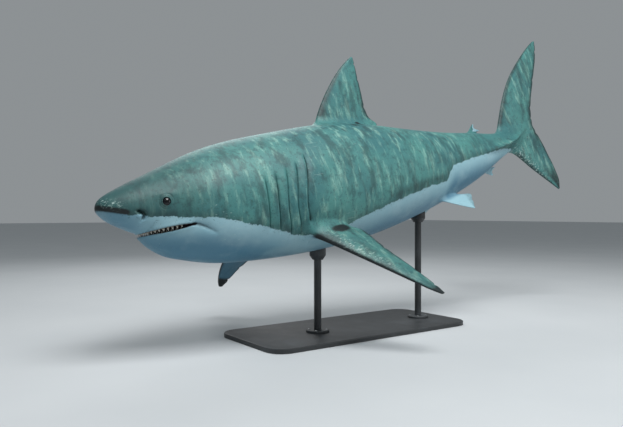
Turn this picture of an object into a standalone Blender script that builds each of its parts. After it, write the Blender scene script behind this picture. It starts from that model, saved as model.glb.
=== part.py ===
"""Great white shark, life size, swimming, held over the floor by a plain display stand.

The animal is modelled straight and level first, in a body frame: x runs back from the tip of
the snout, y to its right and z up. Its sizes there are hundredths of the total length. It is
then parted into head, jaw, trunk, tail and fins, bent into its swimming pose, and set on the
stand. Metres, +Z up. The snout points to -X and the left side faces -Y.
"""

import math

import bmesh
import bpy
import numpy as np
from mathutils import Matrix, Vector

# ------------------------------------------------------------------ driving dimensions
TOTAL_LENGTH = 3.40  # snout to the tip of the upper tail lobe, m
UNIT = TOTAL_LENGTH / 100  # every body size below is in this unit
GAP = 0.0003  # clearance between two solids that touch, m

# ------------------------------------------------------------------ pose
PIVOT = 40.0  # the body station that the pose turns about
PIVOT_HEIGHT = 0.80  # its height above the floor, m
NOSE_DOWN = math.radians(8.3)
BANK = math.radians(6.3)  # right side lower
HEAD_FROM = 30.0  # the head bends forward of this station
HEAD_TURN = math.radians(7.8)  # to its left
HEAD_LIFT = math.radians(3.9)
TAIL_FROM = 48.0  # the tail bends behind this station
TAIL_TO = 88.0
TAIL_LIFT = math.radians(11.5)
TAIL_TURN = math.radians(2.6)  # to its left

# ------------------------------------------------------------------ body
# station, top, underside, half width, height where it is widest
BODY = (
    (0.0, 0.0, 0.0, 0.0, 0.0),
    (0.4, 1.0, -0.75, 1.05, 0.0),
    (1.6, 1.8, -1.75, 1.95, -0.1),
    (3.1, 2.5, -2.55, 2.65, -0.25),
    (5.0, 3.3, -3.35, 3.35, -0.4),
    (7.4, 4.25, -3.7, 4.15, -0.55),
    (11.5, 5.85, -4.1, 5.75, -0.9),
    (16.8, 7.4, -4.6, 7.15, -1.2),
    (22.0, 8.25, -5.0, 7.85, -1.2),
    (29.0, 8.95, -5.4, 8.15, -1.0),
    (36.0, 9.35, -5.4, 8.0, -0.6),
    (44.0, 8.9, -5.2, 7.45, -0.3),
    (52.0, 7.75, -4.9, 6.35, -0.1),
    (60.0, 6.35, -4.6, 4.95, 0.0),
    (67.0, 5.1, -4.1, 3.65, 0.1),
    (73.0, 4.0, -3.5, 2.55, 0.1),
    (79.0, 2.75, -2.05, 1.9, 0.2),
    (83.0, 2.9, -1.3, 1.25, 0.6),
    (88.0, 3.6, 0.5, 0.1, 1.8),
)
# the underside behind the chin, where the lower jaw, throat and belly hang below the snout line
BELLY = (
    (5.0, -5.6),
    (7.0, -6.35),
    (9.6, -7.1),
    (13.5, -8.15),
    (20.0, -9.0),
    (28.0, -9.45),
    (36.0, -9.45),
    (44.0, -8.85),
    (52.0, -7.65),
    (60.0, -6.3),
    (67.0, -5.0),
    (73.0, -3.65),
    (79.0, -2.05),
    (83.0, -1.3),
    (88.0, 0.5),
)
# the lengths that the body is parted into, and where each one ends
LENGTHS = (
    ("head", 18.0),
    ("gill_region", 26.6),
    ("trunk_front", 38.0),
    ("trunk_middle", 53.0),
    ("trunk_rear", 68.0),
    ("tail_stock", None),
)
CHIN_FRONT = 5.0  # where the lower jaw starts, on the middle line
CHIN_CURVE = 0.11  # how fast that start falls back to each side
CHIN_LENGTH = 4.5
TOP_POWER = 2.0  # superellipse powers of the cross-section
SIDE_POWER = 2.15
KEEL_FROM, KEEL_TO = 70.0, 88.0
KEEL_WIDTH = 0.95
KEEL_THICKNESS = 0.5

# ------------------------------------------------------------------ mouth, eyes, gills
MOUTH_FRONT = (5.0, -3.6)  # station and height of the lip line on the middle line
MOUTH_CORNER = (10.4, -3.12)
MOUTH_OPENING = 0.52  # between the lips, halfway back
JAW_BACK = 12.4  # where the jaw is parted from the throat
# name, count each side, part of the lip it fills, crown as a part of the opening, width, distance
# behind the lip
TOOTH_ROWS = (
    ("upper", 11, 0.8, 0.8, 0.48, 0.3),
    ("lower", 10, 0.78, 0.6, 0.36, 0.62),
)
TOOTH_ROOT = 0.12  # depth of its root in the gum
TOOTH_THICKNESS = 0.4  # part of its width
TOOTH_TAPER = 0.45  # how much smaller the last tooth of a row is than the first
EYE_STATION = 7.35
EYE_HEIGHT = -0.1
EYE_RADIUS = 0.76
EYE_SINK = 0.52  # how far the middle of the eyeball lies inside the skin
GILLS = (19.9, 21.4, 22.9, 24.4, 26.0)  # stations of the five slits
GILL_TOP, GILL_FOOT = 1.9, -5.6  # heights between which they run
GILL_DEPTH = 0.3
GILL_WIDTH = 0.2

# ------------------------------------------------------------------ fins
# Rows from the root inside the body to the tip. Fins on the middle line give leading station
# and height, trailing station and height, thickness.
FIRST_DORSAL = (
    (34.4, 7.4, 44.8, 7.0, 2.1),
    (35.7, 9.45, 46.0, 8.2, 1.75),
    (36.3, 10.6, 48.9, 8.75, 1.5),
    (37.8, 12.9, 47.2, 9.9, 1.25),
    (40.1, 15.7, 46.5, 12.9, 1.0),
    (42.5, 18.1, 46.2, 16.6, 0.75),
    (44.3, 19.5, 46.1, 18.9, 0.5),
    (45.3, 20.1, 45.9, 20.0, 0.25),
)
SECOND_DORSAL = (
    (70.8, 3.0, 72.4, 3.0, 0.7),
    (71.2, 4.3, 73.0, 4.0, 0.55),
    (71.8, 4.9, 74.6, 4.25, 0.4),
    (72.4, 5.35, 73.5, 4.75, 0.3),
    (72.9, 5.65, 73.4, 5.55, 0.15),
)
ANAL_FIN = (
    (72.4, -2.6, 74.0, -2.4, 0.7),
    (72.8, -3.6, 74.6, -3.2, 0.55),
    (73.4, -4.05, 76.2, -3.35, 0.4),
    (74.0, -4.4, 75.2, -3.85, 0.3),
    (74.6, -4.7, 75.1, -4.55, 0.15),
)
TAIL_FIN = (  # from the lower tip up to the upper tip
    (92.7, -13.3, 93.3, -13.2, 0.25),
    (91.2, -11.7, 93.9, -11.3, 0.5),
    (88.6, -9.0, 93.5, -8.3, 0.85),
    (85.7, -5.8, 92.8, -4.9, 1.15),
    (83.1, -2.9, 91.9, -1.6, 1.4),
    (80.8, -1.0, 91.0, 0.9, 1.6),
    (79.4, 1.8, 91.2, 2.3, 1.7),
    (80.9, 4.6, 92.2, 4.9, 1.6),
    (83.8, 8.2, 94.3, 8.2, 1.4),
    (87.9, 11.9, 96.9, 11.7, 1.0),
    (92.8, 14.8, 98.9, 14.6, 0.7),
    (96.6, 16.6, 99.7, 16.5, 0.4),
    (98.8, 17.4, 99.9, 17.3, 0.2),
)
TAIL_FORK = (88.0, 0.0, 1.1)  # where the tail fin is parted into its lobes
# Paired fins give distance out from the root, leading and trailing distance back from the
# fin's origin, thickness.
PECTORAL = (
    (-2.6, -0.9, 5.6, 2.6),
    (0.0, 0.0, 6.5, 2.1),
    (1.7, 0.75, 8.3, 1.7),
    (4.4, 2.1, 8.5, 1.35),
    (8.2, 4.2, 9.0, 1.05),
    (12.2, 6.7, 9.9, 0.8),
    (15.3, 8.9, 10.7, 0.5),
    (16.8, 10.2, 10.9, 0.25),
)
PELVIC = (
    (-1.6, -0.3, 4.4, 1.1),
    (0.0, 0.0, 5.1, 0.9),
    (0.7, 0.75, 7.6, 0.65),
    (1.8, 2.0, 7.1, 0.5),
    (2.8, 3.15, 6.4, 0.35),
    (3.6, 4.15, 5.8, 0.25),
    (4.1, 4.9, 5.4, 0.15),
)
# name, planform, origin, droop at the root and at the tip, stretch outward, sweep added, twist
# at the root and at the tip that lowers the rear edge
PAIRED = (
    ("pectoral_fin_left", PECTORAL, (26.3, -6.5, -6.5), 34, 47, 0.98, 0.0, 0, 0),
    ("pectoral_fin_right", PECTORAL, (26.3, 6.5, -6.5), -3, 49, 1.07, -0.58, 11, 26),
    ("pelvic_fin_left", PELVIC, (55.8, -3.1, -5.6), 38, 46, 1.0, 0.0, 0, 0),
    ("pelvic_fin_right", PELVIC, (55.8, 3.1, -5.6), 38, 46, 1.0, 0.0, 0, 0),
)
TWIST_AXIS = 0.3  # part of the chord about which a fin twists
FIN_EDGE = 0.09  # least thickness of a fin, near its rear edge

# ------------------------------------------------------------------ stand, in metres
BASE_SIZE = (1.30, 0.56, 0.022)
BASE_MIDDLE_X = 0.02
BASE_CORNER = 0.09
BASE_EDGE = 0.004  # rounding of the upper rim
ROD_RADIUS = 0.019
ROD_STATIONS = (("front", 32.0), ("rear", 54.0))
SADDLE_RADIUS, SADDLE_HEIGHT = 0.042, 0.05
SADDLE_NECK, SADDLE_FLARE = 0.027, 0.022  # radius at its foot, height over which it widens
FLANGE_RADIUS, FLANGE_HEIGHT, FLANGE_EDGE = 0.06, 0.012, 0.003

# ------------------------------------------------------------------ how finely it is faceted
AROUND = 28  # corners of a body ring
TRUNK_STEP = 3.0  # between rings of the trunk
CHORD_STEPS = 7
DORSAL_STEPS, PECTORAL_STEPS, PELVIC_STEPS, SMALL_FIN_STEPS, TAIL_STEPS = 12, 13, 8, 6, 18
TURNED_SIDES = 20
EYE_SEGMENTS, EYE_RINGS = 12, 8

SKIN_BACK = (0.075, 0.125, 0.115)
SKIN_BELLY = (0.55, 0.60, 0.60)


# ------------------------------------------------------------------ scene and mesh helpers
def clear_scene():
    for thing in list(bpy.data.objects):
        bpy.data.objects.remove(thing, do_unlink=True)


def collection(name):
    made = bpy.data.collections.new(name)
    bpy.context.scene.collection.children.link(made)
    return made


def material(name, colour, roughness, metallic=0.0):
    made = bpy.data.materials.new(name)
    made.use_nodes = True
    shader = made.node_tree.nodes["Principled BSDF"]
    shader.inputs["Base Color"].default_value = (*colour, 1.0)
    shader.inputs["Roughness"].default_value = roughness
    shader.inputs["Metallic"].default_value = metallic
    return made


def new_object(name, points, faces, group):
    mesh = bpy.data.meshes.new(name)
    mesh.from_pydata([tuple(p) for p in points], [], faces)
    made = bpy.data.objects.new(name, mesh)
    group.objects.link(made)
    return made


def grid_solid(name, rings, group):
    """Closed solid through equal rings of points. A ring of one repeated point is a tip."""
    rings = [np.asarray(ring) for ring in rings]
    count = len(rings[0])
    points = []
    index = []
    for ring in rings:
        if np.ptp(ring, axis=0).max() < 1e-9:
            points.append(ring[0])
            index.append([len(points) - 1] * count)
        else:
            index.append(list(range(len(points), len(points) + count)))
            points.extend(ring)
    faces = []
    for lower, upper in zip(index[:-1], index[1:]):
        for i in range(count):
            j = (i + 1) % count
            for corners in ((lower[i], lower[j], upper[j]), (lower[i], upper[j], upper[i])):
                if len(set(corners)) == 3:
                    faces.append(corners)
    for ends, flip in ((index[0], True), (index[-1], False)):
        if ends[0] != ends[1]:
            faces.append(ends[::-1] if flip else ends)
    made = new_object(name, points, faces, group)
    outward(made)
    return made


def outward(thing):
    """Turns all the faces of a closed mesh outward."""
    shape = bmesh.new()
    shape.from_mesh(thing.data)
    bmesh.ops.recalc_face_normals(shape, faces=shape.faces)
    if shape.calc_volume(signed=True) < 0:
        bmesh.ops.reverse_faces(shape, faces=shape.faces)
    shape.to_mesh(thing.data)
    shape.free()


def boolean(thing, cutter, operation):
    """Cuts or joins a mesh at once."""
    modifier = thing.modifiers.new(operation, "BOOLEAN")
    modifier.operation = operation
    modifier.object = cutter
    modifier.solver = "EXACT"
    graph = bpy.context.evaluated_depsgraph_get()
    cut = bpy.data.meshes.new_from_object(thing.evaluated_get(graph))
    thing.modifiers.clear()
    thing.data = cut
    shape = bmesh.new()
    shape.from_mesh(cut)
    bmesh.ops.remove_doubles(shape, verts=shape.verts, dist=0.00002)
    bmesh.ops.dissolve_degenerate(shape, edges=shape.edges, dist=0.00002)
    shape.to_mesh(cut)
    shape.free()


def copy_of(thing, name, group):
    made = bpy.data.objects.new(name, thing.data.copy())
    group.objects.link(made)
    return made


def slab_between(thing, lowest, highest):
    """Keeps the stretch of a closed mesh between two heights and caps it."""
    shape = bmesh.new()
    shape.from_mesh(thing.data)
    for level, side in ((lowest, -1.0), (highest, 1.0)):
        if level is None:
            continue
        everything = shape.verts[:] + shape.edges[:] + shape.faces[:]
        cut = bmesh.ops.bisect_plane(
            shape,
            geom=everything,
            plane_co=(0.0, 0.0, level),
            plane_no=(0.0, 0.0, side),
            clear_outer=True,
            dist=1e-6,
        )
        rim = [e for e in cut["geom_cut"] if isinstance(e, bmesh.types.BMEdge) and e.is_boundary]
        bmesh.ops.contextual_create(shape, geom=rim)
    shape.to_mesh(thing.data)
    shape.free()
    outward(thing)


def shade(thing, finish):
    thing.data.materials.clear()
    thing.data.materials.append(finish)
    thing.data.shade_smooth()
    thing.data.set_sharp_from_angle(angle=math.radians(40))


# ------------------------------------------------------------------ curves
def spline(table, x):
    """Natural cubic spline through the rows (position, value, ...) at the positions x."""
    table = np.asarray(table, float)
    knots, values = table[:, 0], table[:, 1:]
    count = len(knots)
    step = np.diff(knots)
    slope = np.diff(values, axis=0) / step[:, None]
    system = np.eye(count)
    right = np.zeros_like(values)
    for i in range(1, count - 1):
        system[i, i - 1 : i + 2] = step[i - 1], 2 * (step[i - 1] + step[i]), step[i]
        right[i] = 6 * (slope[i] - slope[i - 1])
    bend = np.linalg.solve(system, right)
    x = np.clip(np.asarray(x, float), knots[0], knots[-1])
    i = np.clip(np.searchsorted(knots, x) - 1, 0, count - 2)
    h = step[i][..., None]
    a = (x - knots[i])[..., None]
    b = h - a
    cubic = (bend[i] * b**3 + bend[i + 1] * a**3) / (6 * h)
    linear = (values[i] / h - bend[i] * h / 6) * b + (values[i + 1] / h - bend[i + 1] * h / 6) * a
    return cubic + linear


def smooth_step(low, high, x):
    t = np.clip((np.asarray(x, float) - low) / (high - low), 0.0, 1.0)
    return t * t * (3 - 2 * t)


# ------------------------------------------------------------------ the body's surface
def by_root(table):
    """The same table over the square root of the station, so that the snout comes out round."""
    return [(math.sqrt(row[0]), *row[1:]) for row in table]


def keel(station, height, level):
    """Sideways ridge along each side of the tail stock."""
    along = smooth_step(KEEL_FROM, 78.0, station) * (1 - smooth_step(83.0, KEEL_TO, station))
    return KEEL_WIDTH * along * np.exp(-(((height - level) / KEEL_THICKNESS) ** 2))


def gill(station, height):
    """Depth of the five gill slits, each a groove that is steeper on its front side."""
    reach = smooth_step(GILL_TOP + 0.9, GILL_TOP - 0.6, height)
    reach = reach * smooth_step(GILL_FOOT - 0.9, GILL_FOOT + 0.6, height)
    depth = np.zeros_like(np.asarray(station, float))
    for slit in GILLS:
        back = np.asarray(station, float) - slit
        width = np.where(back > 0, GILL_WIDTH, 1.7 * GILL_WIDTH)
        depth = np.maximum(depth, np.exp(-((back / width) ** 2)))
    return GILL_DEPTH * depth * reach


def body_point(station, angle):
    """Surface point at a station, at an angle from the back (0) round to the belly (pi)."""
    station, angle = np.broadcast_arrays(np.asarray(station, float), np.asarray(angle, float))
    top, snout_under, half, level = np.moveaxis(spline(by_root(BODY), np.sqrt(station)), -1, 0)
    belly = spline(BELLY, station)[..., 0]
    sine, cosine = np.sin(angle), np.cos(angle)
    power = np.where(cosine > 0, TOP_POWER, SIDE_POWER)
    side = half * np.sign(sine) * np.abs(sine) ** (2 / power)
    start = CHIN_FRONT + CHIN_CURVE * side**2
    into = np.clip((station - start) / CHIN_LENGTH, 0.0, 1.0)
    jaw = np.sqrt(1 - (1 - into) ** 2)
    under = snout_under + (belly - snout_under) * jaw
    rise = np.abs(cosine) ** (2 / power)
    height = level + np.where(cosine > 0, top - level, under - level) * rise
    side = side + np.sign(sine) * np.abs(sine) ** 6 * keel(station, height, level)
    groove = gill(station, height) * smooth_step(0.5, 0.8, np.abs(sine))
    radius = np.hypot(side, height - level) + 1e-9
    side = side * (1 - groove / radius)
    height = level + (height - level) * (1 - groove / radius)
    return np.stack([station, side, height], -1)


def body_stations():
    """Stations of the rings: close at the snout and the slits, wide along the trunk."""
    snout = list(np.array([0.0, 0.28, 0.55, 0.85, 1.2]) ** 2)
    chin = [2.3, 3.3, 4.3, 4.9, 5.15, 5.5, 6.0, 6.7, 7.6, 8.7, 9.9, 11.2, 12.8, 14.6, 16.4, 18.0]
    slits = []
    for slit in GILLS:
        slits += [slit - 0.5, slit, slit + 0.28]
    trunk = []
    for (_, front), (_, rear) in zip(LENGTHS[1:-2], LENGTHS[2:-1]):
        steps = round((rear - front) / TRUNK_STEP)
        trunk += list(np.linspace(front, rear, steps, endpoint=False))
    tail = [68.0, 70.7, 73.2, 75.5, 77.5, 79.5, 81.5, 83.5, 85.3, 86.8]
    return sorted({*snout, *chin, *slits, *trunk, *tail})


def body_length(name, group, front=None, rear=None):
    """The body, or the length of it between two stations, as a closed solid."""
    low = BODY[0][0] if front is None else front + GAP / 2 / UNIT
    high = BODY[-1][0] if rear is None else rear - GAP / 2 / UNIT
    stations = [low] + [x for x in body_stations() if low < x < high] + [high]
    angles = np.linspace(0, 2 * math.pi, AROUND, endpoint=False)
    rings = [body_point(station, angles) * UNIT for station in stations]
    return grid_solid(name, rings, group)


def grown(thing, name, group, distance):
    """A copy of a closed mesh with its surface moved outward."""
    made = copy_of(thing, name, group)
    shape = bmesh.new()
    shape.from_mesh(made.data)
    shape.normal_update()
    for vertex in shape.verts:
        vertex.co += vertex.normal * distance * vertex.calc_shell_factor()
    shape.to_mesh(made.data)
    shape.free()
    return made


# ------------------------------------------------------------------ fins
def fin_section(lead, trail, normal, thickness):
    """Closed loop round a fin: along one side from front to rear and back along the other."""
    turn = np.linspace(0, math.pi, CHORD_STEPS + 1)
    back = (1 - np.cos(turn)) / 2
    full = 2.49 * np.sqrt(back) * (1 - back) ** 0.9
    least = FIN_EDGE * (1 - (2 * back - 1) ** 8)
    half = np.maximum(thickness / 2 * full, least / 2)
    half[[0, -1]] = 0.0
    middle = lead + back[:, None] * (trail - lead)
    right = middle + half[:, None] * normal
    left = middle - half[:, None] * normal
    return np.concatenate([right, left[-2:0:-1]])


def fin_rings(lead, trail, thickness):
    """Rings of a fin whose edges are two rows of points, tip last."""
    rings = []
    for i in range(len(lead)):
        before, after = max(i - 1, 0), min(i + 1, len(lead) - 1)
        out = (lead[after] + trail[after]) - (lead[before] + trail[before])
        normal = np.cross(trail[i] - lead[i], out)
        normal /= np.linalg.norm(normal)
        rings.append(fin_section(lead[i], trail[i], normal, thickness[i]) * UNIT)
    return rings


def resample(rows, steps):
    """More rows on smooth curves through the given ones, closer together towards both ends."""
    rows = np.asarray(rows, float)
    place = np.arange(len(rows), dtype=float)
    table = np.column_stack([place, rows])
    return spline(table, np.linspace(0, len(rows) - 1, steps + 1))


def median_fin(name, rows, steps, group):
    """A fin that stands on the body's middle line."""
    table = resample(rows, steps)
    lead = np.column_stack([table[:, 0], 0 * table[:, 0], table[:, 1]])
    trail = np.column_stack([table[:, 2], 0 * table[:, 0], table[:, 3]])
    return grid_solid(name, fin_rings(lead, trail, table[:, 4]), group)


def twisted(lead, trail, up, twist):
    """Leading and trailing points of a fin, turned about a line along it."""
    axis = lead + TWIST_AXIS * (trail - lead)
    cosine, sine = np.cos(twist)[:, None], np.sin(twist)[:, None]
    chord = np.linalg.norm(trail - lead, axis=1)[:, None]
    lead = axis + (lead - axis) * cosine + up * TWIST_AXIS * chord * sine
    trail = axis + (trail - axis) * cosine - up * (1 - TWIST_AXIS) * chord * sine
    return lead, trail


def paired_fin(row, steps, group):
    """A pectoral or pelvic fin, which droops and twists more and more towards its tip."""
    name, rows, origin, droop_root, droop_tip, stretch, sweep, twist_root, twist_tip = row
    table = resample(rows, steps)
    out = table[:, 0] * stretch
    share = np.clip(out / out[-1], 0, 1)
    droop = np.radians(droop_root + (droop_tip - droop_root) * share)
    moved = np.diff(out, prepend=0.0)
    side = np.cumsum(moved * np.cos(droop))
    down = np.cumsum(moved * np.sin(droop))
    side, down = side - np.interp(0, out, side), down - np.interp(0, out, down)
    hand = math.copysign(1.0, origin[1])
    y = origin[1] + hand * side
    z = origin[2] - down
    shift = origin[0] + sweep * np.clip(out, 0, None)
    lead = np.column_stack([shift + table[:, 1], y, z])
    trail = np.column_stack([shift + table[:, 2], y, z])
    up = np.column_stack([0 * droop, hand * np.sin(droop), np.cos(droop)])
    twist = np.radians(twist_root + (twist_tip - twist_root) * share)
    lead, trail = twisted(lead, trail, up, twist)
    return grid_solid(name, fin_rings(lead, trail, table[:, 3]), group)


# ------------------------------------------------------------------ mouth and teeth
def lip_height(station):
    """Height of the line where the lips meet."""
    share = (np.asarray(station, float) - MOUTH_FRONT[0]) / (MOUTH_CORNER[0] - MOUTH_FRONT[0])
    return MOUTH_FRONT[1] + share * (MOUTH_CORNER[1] - MOUTH_FRONT[1])


def lip_opening(station):
    """Distance between the lips: narrow at the chin, widest halfway back, closed at the corner."""
    share = (np.asarray(station, float) - MOUTH_FRONT[0]) / (MOUTH_CORNER[0] - MOUTH_FRONT[0])
    share = np.clip(share, 0.0, 1.0)
    return MOUTH_OPENING * (0.55 + 0.45 * np.sin(math.pi * share)) * np.sqrt(1 - share**4)


def mouth_block(name, upper, group):
    """Solid below the upper or the lower lip surface, forward of the jaw's back."""
    stations = np.append(np.linspace(2.0, MOUTH_CORNER[0], 12), JAW_BACK)
    side = 1.0 if upper else -1.0
    height = lip_height(stations) + side * lip_opening(stations) / 2
    height = height * UNIT + side * GAP / 2
    x = stations * UNIT
    x[-1] += side * GAP / 2
    outline = [(a, b) for a, b in zip(x, height)] + [(x[-1], -14 * UNIT), (x[0], -14 * UNIT)]
    rings = [[(a, y, b) for a, b in outline] for y in (-9 * UNIT, 9 * UNIT)]
    return grid_solid(name, rings, group)


def side_at(station, height):
    """Half width of the lower half of the body at a station and height."""
    angles = np.linspace(math.pi, math.pi / 2, 400)
    points = body_point(station, angles)
    return float(np.interp(height, points[:, 2], points[:, 1]))


def lip_curve(side):
    """Right half of the upper (1) or lower (-1) lip's edge, from the middle to the corner."""
    share = np.linspace(0.02, 1.0, 60) ** 2
    stations = MOUTH_FRONT[0] + share * (MOUTH_CORNER[0] - MOUTH_FRONT[0])
    heights = lip_height(stations) + side * lip_opening(stations) / 2
    points = [(x, side_at(x, z), z) for x, z in zip(stations, heights)]
    middle = (stations[0], 0.0, heights[0])
    return np.array([middle, *points])


def along_curve(curve, places):
    """Points and headings at distances along a curve."""
    run = np.concatenate([[0.0], np.cumsum(np.linalg.norm(np.diff(curve, axis=0), axis=1))])
    here = np.column_stack([np.interp(places, run, curve[:, k]) for k in range(3)])
    ahead = np.column_stack([np.interp(places + 0.1, run, curve[:, k]) for k in range(3)])
    return here, ahead - here


def tooth(base, outward_way, up, crown, width):
    """A flat pointed blade, from four corners in the gum to its tip."""
    along = np.cross(outward_way, up) * width / 2
    thick = outward_way * width * TOOTH_THICKNESS / 2
    corners = [
        base - up * TOOTH_ROOT + along * a + thick * b
        for a, b in ((-1, -1), (1, -1), (1, 1), (-1, 1))
    ]
    corners.append(base + up * crown)
    faces = [(0, 1, 2, 3)] + [(i, (i + 1) % 4, 4) for i in range(4)]
    return corners, faces


def tooth_row(row, group):
    """Blades along both sides of one jaw, set behind the lip and smaller towards the corners."""
    name, count, part, crown, width, inset = row
    side = 1.0 if name == "upper" else -1.0
    up = np.array([0.0, 0.0, -side])
    curve = lip_curve(side)
    length = np.linalg.norm(np.diff(curve, axis=0), axis=1).sum() * part
    here, heading = along_curve(curve, (np.arange(count) + 0.5) / count * length)
    points, faces = [], []
    for i in range(count):
        out = np.array([-heading[i, 1], heading[i, 0], 0.0])
        out /= np.linalg.norm(out)
        height = crown * lip_opening(here[i, 0])
        size = 1.0 - TOOTH_TAPER * i / count
        for hand in (-1.0, 1.0):
            mirror = np.array([1.0, hand, 1.0])
            base = (here[i] - out * inset) * mirror
            corners, sides = tooth(base, out * mirror, up, height, width * size)
            start = len(points)
            points += [c * UNIT for c in corners]
            faces += [tuple(start + k for k in face) for face in sides]
    made = new_object(name + "_teeth", points, faces, group)
    outward(made)
    return made


# ------------------------------------------------------------------ eyes
def eye_centre(hand):
    """Middle of the eyeball, just inside the skin."""
    angles = np.linspace(0.2, math.pi - 0.2, 400)
    ring = body_point(EYE_STATION, angles)
    side = float(np.interp(-EYE_HEIGHT, -ring[:, 2], ring[:, 1]))
    return Vector((EYE_STATION, hand * (side - EYE_SINK), EYE_HEIGHT)) * UNIT


def ball(name, centre, radius, group):
    shape = bmesh.new()
    bmesh.ops.create_uvsphere(
        shape,
        u_segments=EYE_SEGMENTS,
        v_segments=EYE_RINGS,
        radius=radius,
        matrix=Matrix.Translation(centre),
    )
    mesh = bpy.data.meshes.new(name)
    shape.to_mesh(mesh)
    shape.free()
    made = bpy.data.objects.new(name, mesh)
    group.objects.link(made)
    return made


# ------------------------------------------------------------------ pose
def centre_line():
    """The body's bent middle line, with its heading at each station."""
    station = np.linspace(-5, 105, 1101)
    forward = np.clip((HEAD_FROM - station) / HEAD_FROM, 0, None)
    behind = np.clip((station - TAIL_FROM) / (TAIL_TO - TAIL_FROM), 0, 1)
    turn = HEAD_TURN * forward - TAIL_TURN * behind
    lift = -HEAD_LIFT * forward + TAIL_LIFT * behind
    way = np.column_stack(
        [np.cos(lift) * np.cos(turn), np.cos(lift) * np.sin(turn), np.sin(lift)]
    )
    line = np.cumsum(way, axis=0) * (station[1] - station[0])
    pivot = np.argmin(np.abs(station - PIVOT))
    return station, line - line[pivot], turn, lift


def posed(points):
    """Bends straight body points, in metres, into the pose and sets them over the stand."""
    points = np.asarray(points, float) / UNIT
    station, line, turn, lift = centre_line()
    x = points[:, 0]
    middle = np.column_stack([np.interp(x, station, line[:, k]) for k in range(3)])
    turn, lift = np.interp(x, station, turn), np.interp(x, station, lift)
    side = np.column_stack([-np.sin(turn), np.cos(turn), 0 * turn])
    way = np.column_stack(
        [np.cos(lift) * np.cos(turn), np.cos(lift) * np.sin(turn), np.sin(lift)]
    )
    up = np.cross(way, side)
    bent = middle + side * points[:, 1:2] + up * points[:, 2:3]
    tilt = Matrix.Rotation(-NOSE_DOWN, 3, "Y") @ Matrix.Rotation(-BANK, 3, "X")
    return bent @ np.array(tilt).T * UNIT + np.array([0.0, 0.0, PIVOT_HEIGHT])


def pose(thing):
    count = len(thing.data.vertices)
    flat = np.empty(count * 3)
    thing.data.vertices.foreach_get("co", flat)
    thing.data.vertices.foreach_set("co", posed(flat.reshape(-1, 3)).ravel())
    thing.data.update()


# ------------------------------------------------------------------ the animal
def build_trunk(group):
    """The body in lengths, by name."""
    parts = {}
    front = None
    for name, rear in LENGTHS:
        parts[name] = body_length(name, group, front, rear)
        front = rear
    return parts


def build_head(parts, cutters, group):
    """Parts the lower jaw from the head, sets the eyes and joins the teeth to their jaws."""
    head = parts["head"]
    jaw = copy_of(head, "lower_jaw", group)
    boolean(jaw, mouth_block("below_lower_lip", False, cutters), "INTERSECT")
    boolean(head, mouth_block("below_upper_lip", True, cutters), "DIFFERENCE")
    for thing, row in ((head, TOOTH_ROWS[0]), (jaw, TOOTH_ROWS[1])):
        boolean(thing, tooth_row(row, cutters), "UNION")
    parts["lower_jaw"] = jaw
    for name, hand in (("left", -1.0), ("right", 1.0)):
        centre = eye_centre(hand)
        parts["eye_" + name] = ball("eye_" + name, centre, EYE_RADIUS * UNIT, group)
        socket = ball("socket_" + name, centre, EYE_RADIUS * UNIT + GAP, cutters)
        boolean(head, socket, "DIFFERENCE")


def build_fins(skin, cutters, group):
    """Posed fins, each cut back to the body's surface, by name."""
    fins = [
        median_fin("first_dorsal_fin", FIRST_DORSAL, DORSAL_STEPS, group),
        median_fin("second_dorsal_fin", SECOND_DORSAL, SMALL_FIN_STEPS, group),
        median_fin("anal_fin", ANAL_FIN, SMALL_FIN_STEPS, group),
    ]
    for row in PAIRED:
        steps = PECTORAL_STEPS if row[1] is PECTORAL else PELVIC_STEPS
        fins.append(paired_fin(row, steps, group))
    tail = median_fin("tail_fin", TAIL_FIN, TAIL_STEPS, cutters)
    for fin in [*fins, tail]:
        pose(fin)
    fork = float(posed(np.array([TAIL_FORK]) * UNIT)[0, 2])
    for name, low, high in (
        ("tail_fin_upper", fork + GAP / 2, None),
        ("tail_fin_lower", None, fork - GAP / 2),
    ):
        lobe = copy_of(tail, name, group)
        slab_between(lobe, low, high)
        fins.append(lobe)
    for fin in fins:
        boolean(fin, skin, "DIFFERENCE")
    return {fin.name: fin for fin in fins}


# ------------------------------------------------------------------ the stand
def turned(name, profile, place, group):
    """A solid of revolution about an upright axis, from (radius, height) pairs."""
    turn = np.linspace(0, 2 * math.pi, TURNED_SIDES, endpoint=False)
    rings = []
    for radius, height in profile:
        ring = np.column_stack([radius * np.cos(turn), radius * np.sin(turn), height + 0 * turn])
        rings.append(ring + np.array([place[0], place[1], 0.0]))
    return grid_solid(name, rings, group)


def build_base(group):
    """Flat plate with round corners and a softened upper edge."""
    height = BASE_SIZE[2]
    shape = bmesh.new()
    bmesh.ops.create_cube(shape, size=1.0)
    bmesh.ops.scale(shape, vec=BASE_SIZE, verts=shape.verts)
    bmesh.ops.translate(shape, vec=(BASE_MIDDLE_X, 0.0, height / 2), verts=shape.verts)
    upright = [e for e in shape.edges if abs(e.verts[0].co.z - e.verts[1].co.z) > height / 2]
    bmesh.ops.bevel(shape, geom=upright, offset=BASE_CORNER, segments=6, profile=0.5, affect="EDGES")
    rim = [e for e in shape.edges if all(v.co.z > height * 0.9 for v in e.verts)]
    bmesh.ops.bevel(shape, geom=rim, offset=BASE_EDGE, segments=2, profile=0.5, affect="EDGES")
    mesh = bpy.data.meshes.new("stand_base")
    shape.to_mesh(mesh)
    shape.free()
    made = bpy.data.objects.new("stand_base", mesh)
    group.objects.link(made)
    return made


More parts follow.
